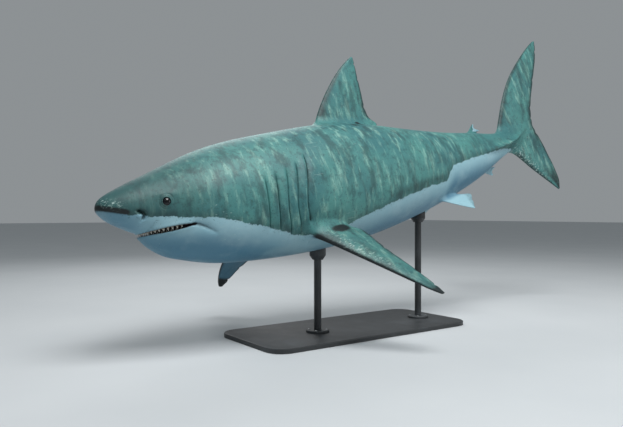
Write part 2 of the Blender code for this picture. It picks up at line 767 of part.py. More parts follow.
def build_stand(skin, cutters, group):
    """Base, and two rods with a flange at the foot and a saddle under the belly."""
    stand = {"stand_base": build_base(group)}
    top = BASE_SIZE[2] + GAP
    for name, station in ROD_STATIONS:
        belly = posed(body_point(station, math.pi)[None] * UNIT)[0]
        place = (belly[0], belly[1])
        flange_top = top + FLANGE_HEIGHT
        saddle_foot = belly[2] - SADDLE_HEIGHT
        flange = [(FLANGE_RADIUS, top), (FLANGE_RADIUS, flange_top - FLANGE_EDGE)]
        flange += [(FLANGE_RADIUS - FLANGE_EDGE, flange_top)]
        saddle = [(SADDLE_NECK, saddle_foot), (SADDLE_RADIUS, saddle_foot + SADDLE_FLARE)]
        saddle += [(SADDLE_RADIUS, belly[2] + SADDLE_RADIUS)]
        rod = [(ROD_RADIUS, flange_top + GAP), (ROD_RADIUS, saddle_foot - GAP)]
        for kind, profile in (("flange", flange), ("rod", rod), ("saddle", saddle)):
            full = "stand_" + kind + "_" + name
            stand[full] = turned(full, profile, place, group)
        boolean(stand["stand_saddle_" + name], skin, "DIFFERENCE")
    return stand


def settle(parts):
    """Moves the whole model level, so that the middle of its footprint lies over the origin."""
    corners = [np.array(vertex.co) for part in parts for vertex in part.data.vertices]
    middle = (np.min(corners, axis=0) + np.max(corners, axis=0)) / 2
    for part in parts:
        part.data.transform(Matrix.Translation((-middle[0], -middle[1], 0.0)))


def main():
    clear_scene()
    group = collection("great_white_shark")
    cutters = collection("cutters")
    back = material("shark_skin", SKIN_BACK, 0.45)
    eye = material("eye_black", (0.005, 0.006, 0.008), 0.08)
    belly = material("jaw_skin", SKIN_BELLY, 0.45)
    metal = material("stand_steel", (0.03, 0.03, 0.032), 0.4)
    parts = build_trunk(group)
    build_head(parts, cutters, group)
    body = body_length("body", cutters)
    for part in [body, *parts.values()]:
        pose(part)
    skin = grown(body, "body_with_clearance", cutters, GAP)
    parts.update(build_fins(skin, cutters, group))
    for name, part in parts.items():
        finish = eye if name.startswith("eye") else belly if name == "lower_jaw" else back
        shade(part, finish)
    for part in build_stand(skin, cutters, group).values():
        shade(part, metal)
    settle(list(group.objects))
    for guide in cutters.objects:
        guide.hide_render = True
        guide.display_type = "WIRE"


main()
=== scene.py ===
# %% [markdown]
# # A great white shark on its display stand
# A museum shows a shark like this as a painted cast of the whole animal, life size, on a steel
# stand. The solids already give its size, its pose and its stand. This lesson gives it a skin
# without seams, real lips, teeth, eyes and gills, and the finish of each surface.

# %% Load the solids
import math

import bmesh
import bpy
import numpy as np
from mathutils import Matrix, Vector
from mathutils.kdtree import KDTree


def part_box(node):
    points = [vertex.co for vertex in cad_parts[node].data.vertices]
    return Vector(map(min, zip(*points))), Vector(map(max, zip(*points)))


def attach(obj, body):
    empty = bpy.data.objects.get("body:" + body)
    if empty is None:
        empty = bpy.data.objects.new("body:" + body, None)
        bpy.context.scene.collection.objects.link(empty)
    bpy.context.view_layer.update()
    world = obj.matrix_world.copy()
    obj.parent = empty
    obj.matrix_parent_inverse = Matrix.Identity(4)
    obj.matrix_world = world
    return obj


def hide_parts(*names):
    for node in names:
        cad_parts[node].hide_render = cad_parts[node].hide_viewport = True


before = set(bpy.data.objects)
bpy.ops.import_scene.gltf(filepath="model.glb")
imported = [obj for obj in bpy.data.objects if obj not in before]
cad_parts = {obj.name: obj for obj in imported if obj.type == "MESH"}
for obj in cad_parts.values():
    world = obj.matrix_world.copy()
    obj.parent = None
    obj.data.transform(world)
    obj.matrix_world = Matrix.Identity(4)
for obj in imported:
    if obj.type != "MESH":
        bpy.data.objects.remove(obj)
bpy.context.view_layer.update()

# %% [markdown]
# ## The camera
# A diver sees the shark from its front left, a little below its back, and level with the water.
# On land that is a camera at the height of a low tripod. Its place is measured from the middle
# of the stand, so that it would follow the model if the stand moved.

# %% Camera
base_low, base_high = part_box("stand_base")
pivot = Vector(((base_low.x + base_high.x) / 2 - 0.02, (base_low.y + base_high.y) / 2, 0.80))
VIEW_TURN = math.radians(35.83)
view_right = Vector((math.cos(VIEW_TURN), -math.sin(VIEW_TURN), 0.0))
view_forward = Vector((math.sin(VIEW_TURN), math.cos(VIEW_TURN), 0.0))
place = pivot - 0.1914 * view_right - 3.2395 * view_forward - Vector((0.0, 0.0, 0.171))
camera = bpy.data.objects.new("camera", bpy.data.cameras.new("camera"))
bpy.context.scene.collection.objects.link(camera)
camera.data.sensor_width = 36.0
camera.data.lens = 34.67
turn = Matrix((view_right, Vector((0.0, 0.0, 1.0)), -view_forward)).transposed()
camera.matrix_world = Matrix.Translation(place) @ turn.to_4x4()
bpy.context.scene.camera = camera
bpy.context.scene.view_settings.view_transform = "Standard"
print("camera height:", round(place.z, 3), "m")

# %% [markdown]
# ## The straight shark
# The body is drawn straight and level first, and is bent into its pose at the very end, as a
# sculptor would bend a wax. All sizes are in hundredths of the total length. The tables are the
# ones that the solids were made from, so the skin lies exactly where they lie.

# %% Sizes of the straight body
TOTAL_LENGTH = 3.40
UNIT = TOTAL_LENGTH / 100
MM = 0.001 / UNIT  # one millimetre in body units
# station, top, underside, half width, height where it is widest
BODY = (
    (0.0, 0.0, 0.0, 0.0, 0.0), (0.4, 1.0, -0.75, 1.05, 0.0),
    (1.6, 1.8, -1.75, 1.95, -0.1), (3.1, 2.5, -2.55, 2.65, -0.25),
    (5.0, 3.3, -3.35, 3.35, -0.4), (7.4, 4.25, -3.7, 4.15, -0.55),
    (11.5, 5.85, -4.1, 5.75, -0.9), (16.8, 7.4, -4.6, 7.15, -1.2),
    (22.0, 8.25, -5.0, 7.85, -1.2), (29.0, 8.95, -5.4, 8.15, -1.0),
    (36.0, 9.35, -5.4, 8.0, -0.6), (44.0, 8.9, -5.2, 7.45, -0.3),
    (52.0, 7.75, -4.9, 6.35, -0.1), (60.0, 6.35, -4.6, 4.95, 0.0),
    (67.0, 5.1, -4.1, 3.65, 0.1), (73.0, 4.0, -3.5, 2.55, 0.1),
    (79.0, 2.75, -2.05, 1.9, 0.2), (83.0, 2.9, -1.3, 1.25, 0.6),
    (88.0, 3.6, 0.5, 0.1, 1.8),
)
# station and height of the underside behind the chin
BELLY = (
    (5.0, -5.6), (7.0, -6.35), (9.6, -7.1), (13.5, -8.15), (20.0, -9.0),
    (28.0, -9.45), (36.0, -9.45), (44.0, -8.85), (52.0, -7.65), (60.0, -6.3),
    (67.0, -5.0), (73.0, -3.65), (79.0, -2.05), (83.0, -1.3), (88.0, 0.5),
)
CHIN_FRONT, CHIN_CURVE, CHIN_LENGTH = 5.0, 0.11, 4.5
TOP_POWER, SIDE_POWER = 2.0, 2.15
KEEL_FROM, KEEL_TO, KEEL_WIDTH, KEEL_THICKNESS = 70.0, 88.0, 0.95, 0.5


# %% Curves
def spline(table, x):
    """Natural cubic spline through the rows (position, value, ...) at the positions x."""
    table = np.asarray(table, float)
    knots, values = table[:, 0], table[:, 1:]
    count = len(knots)
    step = np.diff(knots)
    slope = np.diff(values, axis=0) / step[:, None]
    system = np.eye(count)
    right = np.zeros_like(values)
    for i in range(1, count - 1):
        system[i, i - 1 : i + 2] = step[i - 1], 2 * (step[i - 1] + step[i]), step[i]
        right[i] = 6 * (slope[i] - slope[i - 1])
    bend = np.linalg.solve(system, right)
    x = np.clip(np.asarray(x, float), knots[0], knots[-1])
    i = np.clip(np.searchsorted(knots, x) - 1, 0, count - 2)
    h = step[i][..., None]
    a = (x - knots[i])[..., None]
    b = h - a
    cubic = (bend[i] * b**3 + bend[i + 1] * a**3) / (6 * h)
    linear = (values[i] / h - bend[i] * h / 6) * b + (values[i + 1] / h - bend[i + 1] * h / 6) * a
    return cubic + linear


def smooth_step(low, high, x):
    """0 before low, 1 after high and a soft rise between; low may be the larger one."""
    t = np.clip((np.asarray(x, float) - low) / (high - low), 0.0, 1.0)
    return t * t * (3 - 2 * t)


def hump(x, middle, width):
    """1 at the middle, falling softly to 0 on both sides."""
    return np.exp(-(((np.asarray(x, float) - middle) / width) ** 2))


def along_line(line, points):
    """Distance of points from a line of points, and how far along it (0 to 1) the nearest is."""
    line, points = np.asarray(line, float), np.asarray(points, float)
    nearest = np.full(len(points), 1e9)
    share = np.zeros(len(points))
    for i, (a, b) in enumerate(zip(line[:-1], line[1:])):
        t = np.clip((points - a) @ (b - a) / ((b - a) @ (b - a)), 0, 1)
        away = np.linalg.norm(points - a - t[:, None] * (b - a), axis=1)
        share = np.where(away < nearest, (i + t) / (len(line) - 1), share)
        nearest = np.minimum(away, nearest)
    return nearest, share


# %% [markdown]
# ## The body's surface
# Every point of the body has a station (how far back it lies) and an angle from the back (0)
# round to the belly (half a turn). A lofted surface like this is what a boat builder uses: a row
# of ribs faired with a long batten. It is chosen because each fold, slit and colour edge can
# then be placed by its real position on the animal.

# %% Body surface
ROOTED = [(math.sqrt(row[0]), *row[1:]) for row in BODY]  # makes the tip of the snout round


def body_point(station, angle):
    """Surface point of the smooth body at a station and an angle."""
    station, angle = np.broadcast_arrays(np.asarray(station, float), np.asarray(angle, float))
    top, snout_under, half, level = np.moveaxis(spline(ROOTED, np.sqrt(station)), -1, 0)
    belly = spline(BELLY, station)[..., 0]
    sine, cosine = np.sin(angle), np.cos(angle)
    power = np.where(cosine > 0, TOP_POWER, SIDE_POWER)
    side = half * np.sign(sine) * np.abs(sine) ** (2 / power)
    into = np.clip((station - CHIN_FRONT - CHIN_CURVE * side**2) / CHIN_LENGTH, 0.0, 1.0)
    jaw = np.sqrt(1 - (1 - into) ** 2)
    under = snout_under + (belly - snout_under) * jaw
    rise = np.abs(cosine) ** (2 / power)
    height = level + np.where(cosine > 0, top - level, under - level) * rise
    along = smooth_step(KEEL_FROM, 78.0, station) * (1 - smooth_step(83.0, KEEL_TO, station))
    keel = KEEL_WIDTH * along * hump(height, level, KEEL_THICKNESS)
    side = side + np.sign(sine) * np.abs(sine) ** 6 * keel
    return np.stack([station, side, height], -1)


def slit_lean(station, height):
    """How far back the gill slits and the skin round them are drawn, low and high on the flank."""
    reach = smooth_step(18.0, 26.0, station) * (1 - smooth_step(27.5, 34.0, station))
    return reach * (1.0 * smooth_step(-2.5, -7.5, height) + 1.5 * smooth_step(-3.0, 4.5, height))


def skin_point(station, angle):
    """The same surface with its ribs leaning along the gill slits."""
    flat = body_point(station, angle)
    return body_point(flat[..., 0] + slit_lean(flat[..., 0], flat[..., 2]), angle)


print("girth at the first dorsal fin:", round(17 * UNIT * math.pi, 2), "m")

# %% [markdown]
# ## Folds and openings of the skin
# A shark's skin is tight, so its few folds tell: the gill slits with the flap of skin that covers
# each one, the rim round the eye, the nostril, and the furrow that runs back from the corner of
# the mouth. The muscle under it shows as faint zigzag bands with the groove of the lateral line
# between them. A sculptor cuts all this last, into a faired body. Here each is a height over or
# under the smooth skin, worked out from the distance to a line or a point on the animal.

# %% Relief of the body
# station of each gill slit, the heights of its upper and lower ends, and its relief
GILL_SLITS = (
    (19.9, 1.0, -5.0, 0.75),
    (21.4, 1.4, -5.6, 0.8),
    (22.9, 1.9, -6.1, 0.85),
    (24.4, 2.5, -6.6, 0.9),
    (26.0, 3.6, -7.2, 1.15),
)
EYE_STATION, EYE_HEIGHT, EYE_RADIUS, EYE_SINK = 7.35, -0.1, 0.76, 0.52
NOSTRIL = ((3.7, -0.78), (4.05, -0.9), (4.4, -1.12), (4.56, -1.4), (4.5, -1.75), (4.34, -2.05))
FURROW = ((10.2, -3.13), (10.8, -3.3), (11.4, -3.62), (12.0, -4.02), (12.6, -4.42), (13.0, -4.8))
LATERAL_LINE = ((13, 2.6), (20, 3.4), (30, 3.9), (45, 3.3), (60, 2.2), (75, 0.9), (86, 0.3))
MOUTH_FRONT, MOUTH_CORNER, MOUTH_OPENING = (5.0, -3.6), (10.4, -3.12), 0.52


def side_at(station, height):
    """Half width of the lower half of the body at a station and height."""
    ring = body_point(station, np.linspace(math.pi, math.pi / 2, 400))
    return float(np.interp(height, ring[:, 2], ring[:, 1]))


def lip_height(station):
    """Height of the line where the lips meet."""
    share = (np.asarray(station, float) - MOUTH_FRONT[0]) / (MOUTH_CORNER[0] - MOUTH_FRONT[0])
    return MOUTH_FRONT[1] + share * (MOUTH_CORNER[1] - MOUTH_FRONT[1])


def lip_opening(station):
    """Distance between the lips: narrow at the chin, widest halfway back, closed at the corner."""
    share = (np.asarray(station, float) - MOUTH_FRONT[0]) / (MOUTH_CORNER[0] - MOUTH_FRONT[0])
    share = np.clip(share, 0.0, 1.0)
    return MOUTH_OPENING * (0.55 + 0.45 * np.sin(math.pi * share)) * np.sqrt(1 - share**4)


def eye_on_skin():
    """The point of the skin over the middle of the left eye."""
    ring = body_point(EYE_STATION, np.linspace(-math.pi / 2 - 0.6, -0.2, 800))
    return ring[np.argmin(np.abs(ring[:, 2] - EYE_HEIGHT))]


def skin_nearest(place):
    """The point of the left skin that is nearest to a place inside the head."""
    angles = np.linspace(-math.pi / 2 - 0.3, -math.pi / 2 + 0.5, 200)
    stations = np.linspace(EYE_STATION - 0.6, EYE_STATION + 0.3, 181)
    skin_points = np.concatenate([body_point(station, angles) for station in stations])
    return skin_points[np.argmin(np.linalg.norm(skin_points - place, axis=1))]


EYE_SPOT = eye_on_skin()
# the skin faces a little forward there, so the ball comes out ahead of the spot beside its middle
LIDS_MIDDLE = skin_nearest(EYE_SPOT + np.array([0.0, EYE_SINK, 0.0]))


def gill_relief(station, height):
    """A swollen flap, the sharp slit behind its edge, and the skin rising again from under it."""
    total = np.zeros_like(np.asarray(station, float))
    for slit, top, foot, depth in GILL_SLITS:
        back = station - slit
        reach = smooth_step(top + 0.9, top - 0.6, height)
        reach = reach * smooth_step(foot - 0.9, foot + 0.6, height)
        flap = 0.12 * hump(back, -0.38, 0.36)
        cut = -0.4 * hump(back, 0.07, 0.065)
        rise = -0.24 * np.where(back > 0, hump(back, 0.0, 0.55), hump(back, 0.0, 0.05))
        total = total + depth * reach * (flap + cut + rise)
    return total


def from_lids(points):
    """Distance of points from the middle of the eyelids on their own side of the head."""
    mirrored = points * np.where(points[:, 1:2] > 0, (1.0, -1.0, 1.0), 1.0)
    return np.linalg.norm(mirrored - LIDS_MIDDLE, axis=1)


def eye_relief(points):
    """A socket under the eyeball and a thin raised lid round it, with a crease outside."""
    away = from_lids(points)
    socket = -0.5 * smooth_step(0.5, 0.45, away)
    lid = 0.16 * hump(away, 0.55, 0.085) + 0.05 * hump(away, 0.74, 0.15)
    crease = -0.03 * hump(away, 0.93, 0.07)
    brow = 0.10 * hump(points[:, 0], EYE_STATION, 1.3) * hump(points[:, 2], EYE_HEIGHT + 0.95, 0.45)
    return socket + lid + crease + brow


def nostril_relief(points):
    """A curved slit with a small flap of skin along its front edge."""
    flat = points[:, [0, 2]]
    away, share = along_line(NOSTRIL, flat)
    ends = smooth_step(0.0, 0.15, share) * smooth_step(1.0, 0.85, share)
    wide = 0.15 + 0.11 * np.sin(math.pi * share)
    slit = -0.5 * (0.35 + 0.65 * ends) * hump(away, 0.0, wide)
    flap = 0.08 * hump(np.linalg.norm(flat - (4.05, -1.4), axis=1), 0.0, 0.35)
    on_side = smooth_step(0.8, 1.2, np.abs(points[:, 1]))
    return (slit + flap) * on_side


def mouth_relief(points):
    """Lips that roll out a little, and the furrow behind the corner of the mouth."""
    x, z = points[:, 0], points[:, 2]
    from_lip = np.abs(z - lip_height(x)) - lip_opening(x) / 2
    along = smooth_step(4.2, 5.3, x) * smooth_step(11.2, 9.9, x)
    roll = 0.07 * hump(from_lip, 0.2, 0.2) * along
    away, share = along_line(FURROW, points[:, [0, 2]])
    furrow = -(1 - share) ** 0.6 * (0.34 * hump(away, 0.0, 0.2) + 0.16 * hump(away, 0.0, 0.55))
    cheek = 0.16 * hump(x, 11.6, 1.5) * hump(z, -2.1, 1.2)
    jowl = 0.10 * hump(x, 11.0, 1.8) * hump(z, -4.9, 1.1)
    return roll + furrow + cheek + jowl


def muscle_relief(points):
    """Low swells of the muscle under the skin: zigzag bands, the back's long muscles, the line
    of sense organs along the flank, and the dip over the gills."""
    x, z = points[:, 0], points[:, 2]
    on_flank = hump(z, 0.5, 4.5) * smooth_step(27.0, 33.0, x) * smooth_step(86.0, 78.0, x)
    zigzag = x + 0.9 * np.abs(z - np.interp(x, *np.array(LATERAL_LINE).T)) ** 0.9
    bands = 0.022 * np.sin(2 * math.pi * zigzag / 1.55) * on_flank
    away, share = along_line(LATERAL_LINE, points[:, [0, 2]])
    ends = smooth_step(0.0, 0.04, share) * smooth_step(1.0, 0.95, share)
    groove = -0.035 * hump(away, 0.0, 0.16) * ends
    jaw_muscle = 0.16 * hump(x, 12.8, 2.6) * hump(z, 0.6, 1.8)
    hollow = -0.12 * hump(x, 16.6, 1.5) * hump(z, -1.5, 3.2)
    shoulder = 0.14 * hump(x, 28.4, 1.9) * hump(z, -2.5, 3.5)
    return bands + groove + jaw_muscle + hollow + shoulder


def tail_relief(points):
    """The crescent pits in front of the tail fin, above and below, and the vent."""
    x, y, z = points.T
    upper = hump(x, 79.1, 0.5) * (z > 0)
    lower = hump(x, 80.6, 0.5) * (z < 0)
    vent = 0.12 * hump(x, 60.3, 0.7) * hump(y, 0.0, 0.12) * (z < 0)
    return -0.3 * hump(y, 0.0, 0.8) * (upper + lower) - vent


def relief(station, points):
    """Height of the skin over the smooth body. station is counted before the slits lean back."""
    on_side = smooth_step(1.5, 3.0, np.abs(points[:, 1]))
    total = gill_relief(station, points[:, 2]) * on_side
    total = total + eye_relief(points) + nostril_relief(points) + mouth_relief(points)
    total = total + muscle_relief(points) * on_side
    return total + tail_relief(points)


print("middle of the left eyelids:", np.round(LIDS_MIDDLE * UNIT * 1000), "mm")

# %% [markdown]
# ## The body's mesh
# The mesh is a net of rings. It is close where the skin has detail (4 mm on the head, 1 mm round
# the eye and nostril, 2 mm at the edges of the gill slits) and open along the plain trunk. The
# fine patches are made by dividing the net there, before the points get their places, so that
# every new point still lands on the true surface.

# %% Body net
AROUND = 160


def body_stations():
    """Stations of the rings, close together on the head and at each gill slit."""
    snout = list(np.linspace(0.0, 1.1, 13)[1:] ** 2)
    head = list(np.arange(1.33, 13.0, 0.125))
    throat = list(np.arange(13.0, 19.1, 0.3))
    steps = (-0.65, -0.45, -0.28, -0.15, -0.06, 0.0, 0.05, 0.1, 0.16, 0.24, 0.4, 0.6)
    slits = [row[0] + step for row in GILL_SLITS for step in steps]
    trunk = list(np.arange(26.9, 87.9, 0.55)) + [88.0]
    return sorted({*snout, *head, *throat, *slits, *trunk})


def ring_net(stations, around):
    """A net whose points hold (station, angle, 0), closed into a tube with a point at the front."""
    angles = np.linspace(0, 2 * math.pi, around, endpoint=False)
    points = [(0.0, math.pi, 0.0)]
    points += [(s, a, 0.0) for s in stations for a in angles]
    faces = [(0, 1 + (i + 1) % around, 1 + i) for i in range(around)]
    for ring in range(len(stations) - 1):
        first = 1 + ring * around
        for i in range(around):
            j = (i + 1) % around
            faces.append((first + i, first + j, first + around + j, first + around + i))
    last = 1 + (len(stations) - 1) * around
    faces.append(tuple(range(last, last + around)))
    return points, faces


def refine(net, inside):
    """Divides the edges of the net whose two ends both lie in a region, once."""
    net.verts.ensure_lookup_table()
    flat = np.array([v.co for v in net.verts])
    chosen = inside(body_point(flat[:, 0], flat[:, 1]))
    edges = [e for e in net.edges if chosen[e.verts[0].index] and chosen[e.verts[1].index]]
    bmesh.ops.subdivide_edges(net, edges=edges, cuts=1, use_grid_fill=True)
    net.verts.index_update()


def near(points, reach_eye, reach_nostril, reach_lips):
    """Points near the eye, the nostril, and the edges of the mouth and its furrow."""
    flat = points[:, [0, 2]]
    eye = from_lids(points) < reach_eye
    nostril = (along_line(NOSTRIL, flat)[0] < reach_nostril) & (np.abs(points[:, 1]) > 0.8)
    lip_line = [(x, float(lip_height(x))) for x in (4.8, MOUTH_CORNER[0])]
    furrow = along_line(FURROW, flat)[0] < reach_lips
    lips = along_line(lip_line, flat)[0] < reach_lips + 0.25
    return eye | nostril | ((lips | furrow) & (reach_lips > 0))


def build_net():
    points, faces = ring_net(body_stations(), AROUND)
    mesh = bpy.data.meshes.new("net")
    mesh.from_pydata(points, [], faces)
    net = bmesh.new()
    net.from_mesh(mesh)
    bpy.data.meshes.remove(mesh)
    refine(net, lambda p: near(p, 1.3, 0.8, 0.35))
    refine(net, lambda p: near(p, 1.0, 0.5, 0.0))
    return net


def placed_on_skin(net):
    """Gives each point of the net its place on the body, with the relief."""
    flat = np.array([v.co for v in net.verts])
    station, angle = flat[:, 0], flat[:, 1]
    step = 0.01
    here = skin_point(station, angle)
    back = skin_point(station + step, angle) - skin_point(np.maximum(station - step, 0), angle)
    round_way = skin_point(station, angle + step) - skin_point(station, angle - step)
    normal = np.cross(round_way, back)
    length = np.linalg.norm(normal, axis=1, keepdims=True)
    normal = np.where(length > 1e-12, normal / np.maximum(length, 1e-12), (-1.0, 0.0, 0.0))
    outward = here - np.stack([station, 0 * station, 0 * station], -1)
    normal = normal * np.where((normal * outward).sum(1, keepdims=True) < 0, -1.0, 1.0)
    points = here + normal * relief(station, here)[:, None]
    for vertex, place in zip(net.verts, points):
        vertex.co = place
    return points


net = build_net()
body_points = placed_on_skin(net)
print("body net:", len(net.verts), "points,", len(net.faces), "faces")

# %% [markdown]
# ## Fins
# A fin is a stiff blade of cartilage rods in thin skin. Its section is that of a wing: round in
# front, thickest a third of the way back, and thin at the rear. It is lofted from root to tip
# through such sections. Its rear edge is a little frayed, as it is on every grown animal.

# %% Fin shapes
# leading station and height, trailing station and height, thickness, from the root to the tip
FIRST_DORSAL = (
    (34.4, 7.4, 44.8, 7.0, 2.1), (35.7, 9.45, 46.0, 8.2, 1.75),
    (36.3, 10.6, 48.9, 8.75, 1.5), (37.8, 12.9, 47.2, 9.9, 1.25),
    (40.1, 15.7, 46.5, 12.9, 1.0), (42.5, 18.1, 46.2, 16.6, 0.75),
    (44.3, 19.5, 46.1, 18.9, 0.5), (45.3, 20.1, 45.9, 20.0, 0.25),
)
SECOND_DORSAL = (
    (70.8, 3.0, 72.4, 3.0, 0.7), (71.2, 4.3, 73.0, 4.0, 0.55),
    (71.8, 4.9, 74.6, 4.25, 0.4), (72.4, 5.35, 73.5, 4.75, 0.3),
    (72.9, 5.65, 73.4, 5.55, 0.15),
)
ANAL_FIN = (
    (72.4, -2.6, 74.0, -2.4, 0.7), (72.8, -3.6, 74.6, -3.2, 0.55),
    (73.4, -4.05, 76.2, -3.35, 0.4), (74.0, -4.4, 75.2, -3.85, 0.3),
    (74.6, -4.7, 75.1, -4.55, 0.15),
)
TAIL_FIN = (
    (92.7, -13.3, 93.3, -13.2, 0.25), (91.2, -11.7, 93.9, -11.3, 0.5),
    (88.6, -9.0, 93.5, -8.3, 0.85), (85.7, -5.8, 92.8, -4.9, 1.15),
    (83.1, -2.9, 91.9, -1.6, 1.4), (80.8, -1.0, 91.0, 0.9, 1.6),
    (79.4, 1.8, 91.2, 2.3, 1.7), (80.9, 4.6, 92.2, 4.9, 1.6),
    (83.8, 8.2, 94.3, 8.2, 1.4), (87.9, 11.9, 96.9, 11.7, 1.0),
    (92.8, 14.8, 98.9, 14.6, 0.7), (96.6, 16.6, 99.7, 16.5, 0.4),
    (98.8, 17.4, 99.9, 17.3, 0.2),
)
# distance out from the root, leading and trailing distance back from the origin, thickness
PECTORAL = (
    (-2.6, -0.9, 5.6, 2.6), (0.0, 0.0, 6.5, 2.1),
    (1.7, 0.75, 8.3, 1.7), (4.4, 2.1, 8.5, 1.35),
    (8.2, 4.2, 9.0, 1.05), (12.2, 6.7, 9.9, 0.8),
    (15.3, 8.9, 10.7, 0.5), (16.8, 10.2, 10.9, 0.25),
)
PELVIC = (
    (-1.6, -0.3, 4.4, 1.1), (0.0, 0.0, 5.1, 0.9),
    (0.7, 0.75, 7.6, 0.65), (1.8, 2.0, 7.1, 0.5),
    (2.8, 3.15, 6.4, 0.35), (3.6, 4.15, 5.8, 0.25),
    (4.1, 4.9, 5.4, 0.15),
)
# planform, origin, droop at the root and at the tip, stretch outward, sweep added, twist at the
# root and at the tip that lowers the rear edge
PAIRED = {
    "pectoral_left": (PECTORAL, (26.3, -6.5, -6.5), 34, 47, 0.98, 0.0, 0, 0),
    "pectoral_right": (PECTORAL, (26.3, 6.5, -6.5), -3, 49, 1.07, -0.58, 11, 26),
    "pelvic_left": (PELVIC, (55.8, -3.1, -5.6), 38, 46, 1.0, 0.0, 0, 0),
    "pelvic_right": (PELVIC, (55.8, 3.1, -5.6), 38, 46, 1.0, 0.0, 0, 0),
}
TWIST_AXIS = 0.3  # part of the chord about which a fin twists
FIN_EDGE = 3 * MM  # thickness of the rear edge
CHORD_STEPS = 24
# name: rows along the fin, softening of its root, fraying of its rear edge
FIN_STEPS = {
    "first_dorsal": (44, 1.3, 0.10),
    "second_dorsal": (16, 0.4, 0.015),
    "anal": (16, 0.4, 0.015),
    "tail": (96, 1.0, 0.12),
    "pectoral_left": (56, 1.3, 0.09),
    "pectoral_right": (56, 1.3, 0.09),
    "pelvic_left": (26, 0.6, 0.06),
    "pelvic_right": (26, 0.6, 0.06),
}


def fray(count, amount):
    """How far the rear edge is worn forward at each row: slow waves with a few nicks."""
    t = np.linspace(0, 1, count)
    waves = 0.5 + 0.3 * np.sin(23 * t + 1.3) + 0.2 * np.sin(61 * t)
    nicks = sum(hump(t, place, 0.009) for place in (0.37, 0.52, 0.58, 0.71, 0.86))
    return amount * (waves + 2.2 * nicks)


def fin_section(lead, trail, normal, thickness):
    """Closed loop round a fin: along one side from front to rear and back along the other."""
    back = (1 - np.cos(np.linspace(0, math.pi, CHORD_STEPS + 1))) / 2
    full = 2.49 * np.sqrt(back) * (1 - back) ** 0.9
    half = np.maximum(thickness / 2 * full, FIN_EDGE / 2 * (1 - (2 * back - 1) ** 8))
    half[[0, -1]] = 0.0
    middle = lead + back[:, None] * (trail - lead)
    one, other = middle + half[:, None] * normal, middle - half[:, None] * normal
    return np.concatenate([one, other[-2:0:-1]])


def fin_rings(lead, trail, thickness, wear):
    """Sections from root to tip, and three more that round the tip off."""
    rings = []
    for i in range(len(lead)):
        before, after = max(i - 1, 0), min(i + 1, len(lead) - 1)
        out = (lead[after] + trail[after]) - (lead[before] + trail[before])
        normal = np.cross(trail[i] - lead[i], out)
        normal /= np.linalg.norm(normal)
        way = (trail[i] - lead[i]) / np.linalg.norm(trail[i] - lead[i])
        rings.append(fin_section(lead[i], trail[i] - way * wear[i], normal, thickness[i]))
    centre = rings[-1].mean(axis=0)
    out = rings[-1].mean(axis=0) - rings[-2].mean(axis=0)
    out *= 0.3 * np.linalg.norm(trail[-1] - lead[-1]) / np.linalg.norm(out)
    for share in (0.5, 0.8, 0.97):
        last = rings[len(lead) - 1] - centre
        rings.append(centre + last * math.sqrt(1 - share**2) + out * share)
    return rings


def resampled(rows, steps):
    """More rows on smooth curves through the given ones."""
    table = np.column_stack([np.arange(len(rows), dtype=float), np.asarray(rows, float)])
    return spline(table, np.linspace(0, len(rows) - 1, steps + 1))


def median_fin(name, rows):
    """Leading edge, trailing edge, thickness and distance out of a fin on the middle line."""
    table = resampled(rows, FIN_STEPS[name][0])
    lead = np.column_stack([table[:, 0], 0 * table[:, 0], table[:, 1]])
    trail = np.column_stack([table[:, 2], 0 * table[:, 0], table[:, 3]])
    return lead, trail, table[:, 4], (table[:, 1] + table[:, 3]) / 2


def paired_fin(name):
    """The same of a pectoral or pelvic fin, which droops and twists more towards its tip."""
    rows, origin, droop_root, droop_tip, stretch, sweep, twist_root, twist_tip = PAIRED[name]
    table = resampled(rows, FIN_STEPS[name][0])
    out = table[:, 0] * stretch
    share = np.clip(out / out[-1], 0, 1)
    droop = np.radians(droop_root + (droop_tip - droop_root) * share)
    moved = np.diff(out, prepend=0.0)
    side, down = np.cumsum(moved * np.cos(droop)), np.cumsum(moved * np.sin(droop))
    side, down = side - np.interp(0, out, side), down - np.interp(0, out, down)
    hand = math.copysign(1.0, origin[1])
    shift = origin[0] + sweep * np.clip(out, 0, None)
    lead = np.column_stack([shift + table[:, 1], origin[1] + hand * side, origin[2] - down])
    trail = np.column_stack([shift + table[:, 2], origin[1] + hand * side, origin[2] - down])
    upward = np.column_stack([0 * droop, hand * np.sin(droop), np.cos(droop)])
    twist = np.radians(twist_root + (twist_tip - twist_root) * share)[:, None]
    chord = np.linalg.norm(trail - lead, axis=1)[:, None]
    axis = lead + TWIST_AXIS * (trail - lead)
    lead = axis + (lead - axis) * np.cos(twist) + upward * TWIST_AXIS * chord * np.sin(twist)
    fall = upward * (1 - TWIST_AXIS) * chord * np.sin(twist)
    trail = axis + (trail - axis) * np.cos(twist) - fall
    return lead, trail, table[:, 3], out


def fin_edges():
    """All fins by name."""
    made = {"first_dorsal": median_fin("first_dorsal", FIRST_DORSAL)}
    made["second_dorsal"] = median_fin("second_dorsal", SECOND_DORSAL)
    made["anal"] = median_fin("anal", ANAL_FIN)
    made["tail"] = median_fin("tail", TAIL_FIN)
    for name in PAIRED:
        made[name] = paired_fin(name)
    return made


def closed_net(rings):
    """Faces over equal rings, with a cap on each end."""
    count = len(rings[0])
    faces = []
    for ring in range(len(rings) - 1):
        for i in range(count):
            j = (i + 1) % count
            a, b = ring * count, (ring + 1) * count
            faces.append((a + i, a + j, b + j, b + i))
    last = (len(rings) - 1) * count
    faces.append(tuple(range(count))[::-1])
    faces.append(tuple(range(last, last + count)))
    return faces


FINS = fin_edges()
print("fins, m out:", {name: round(float(np.ptp(fin[3]) * UNIT), 3) for name, fin in FINS.items()})

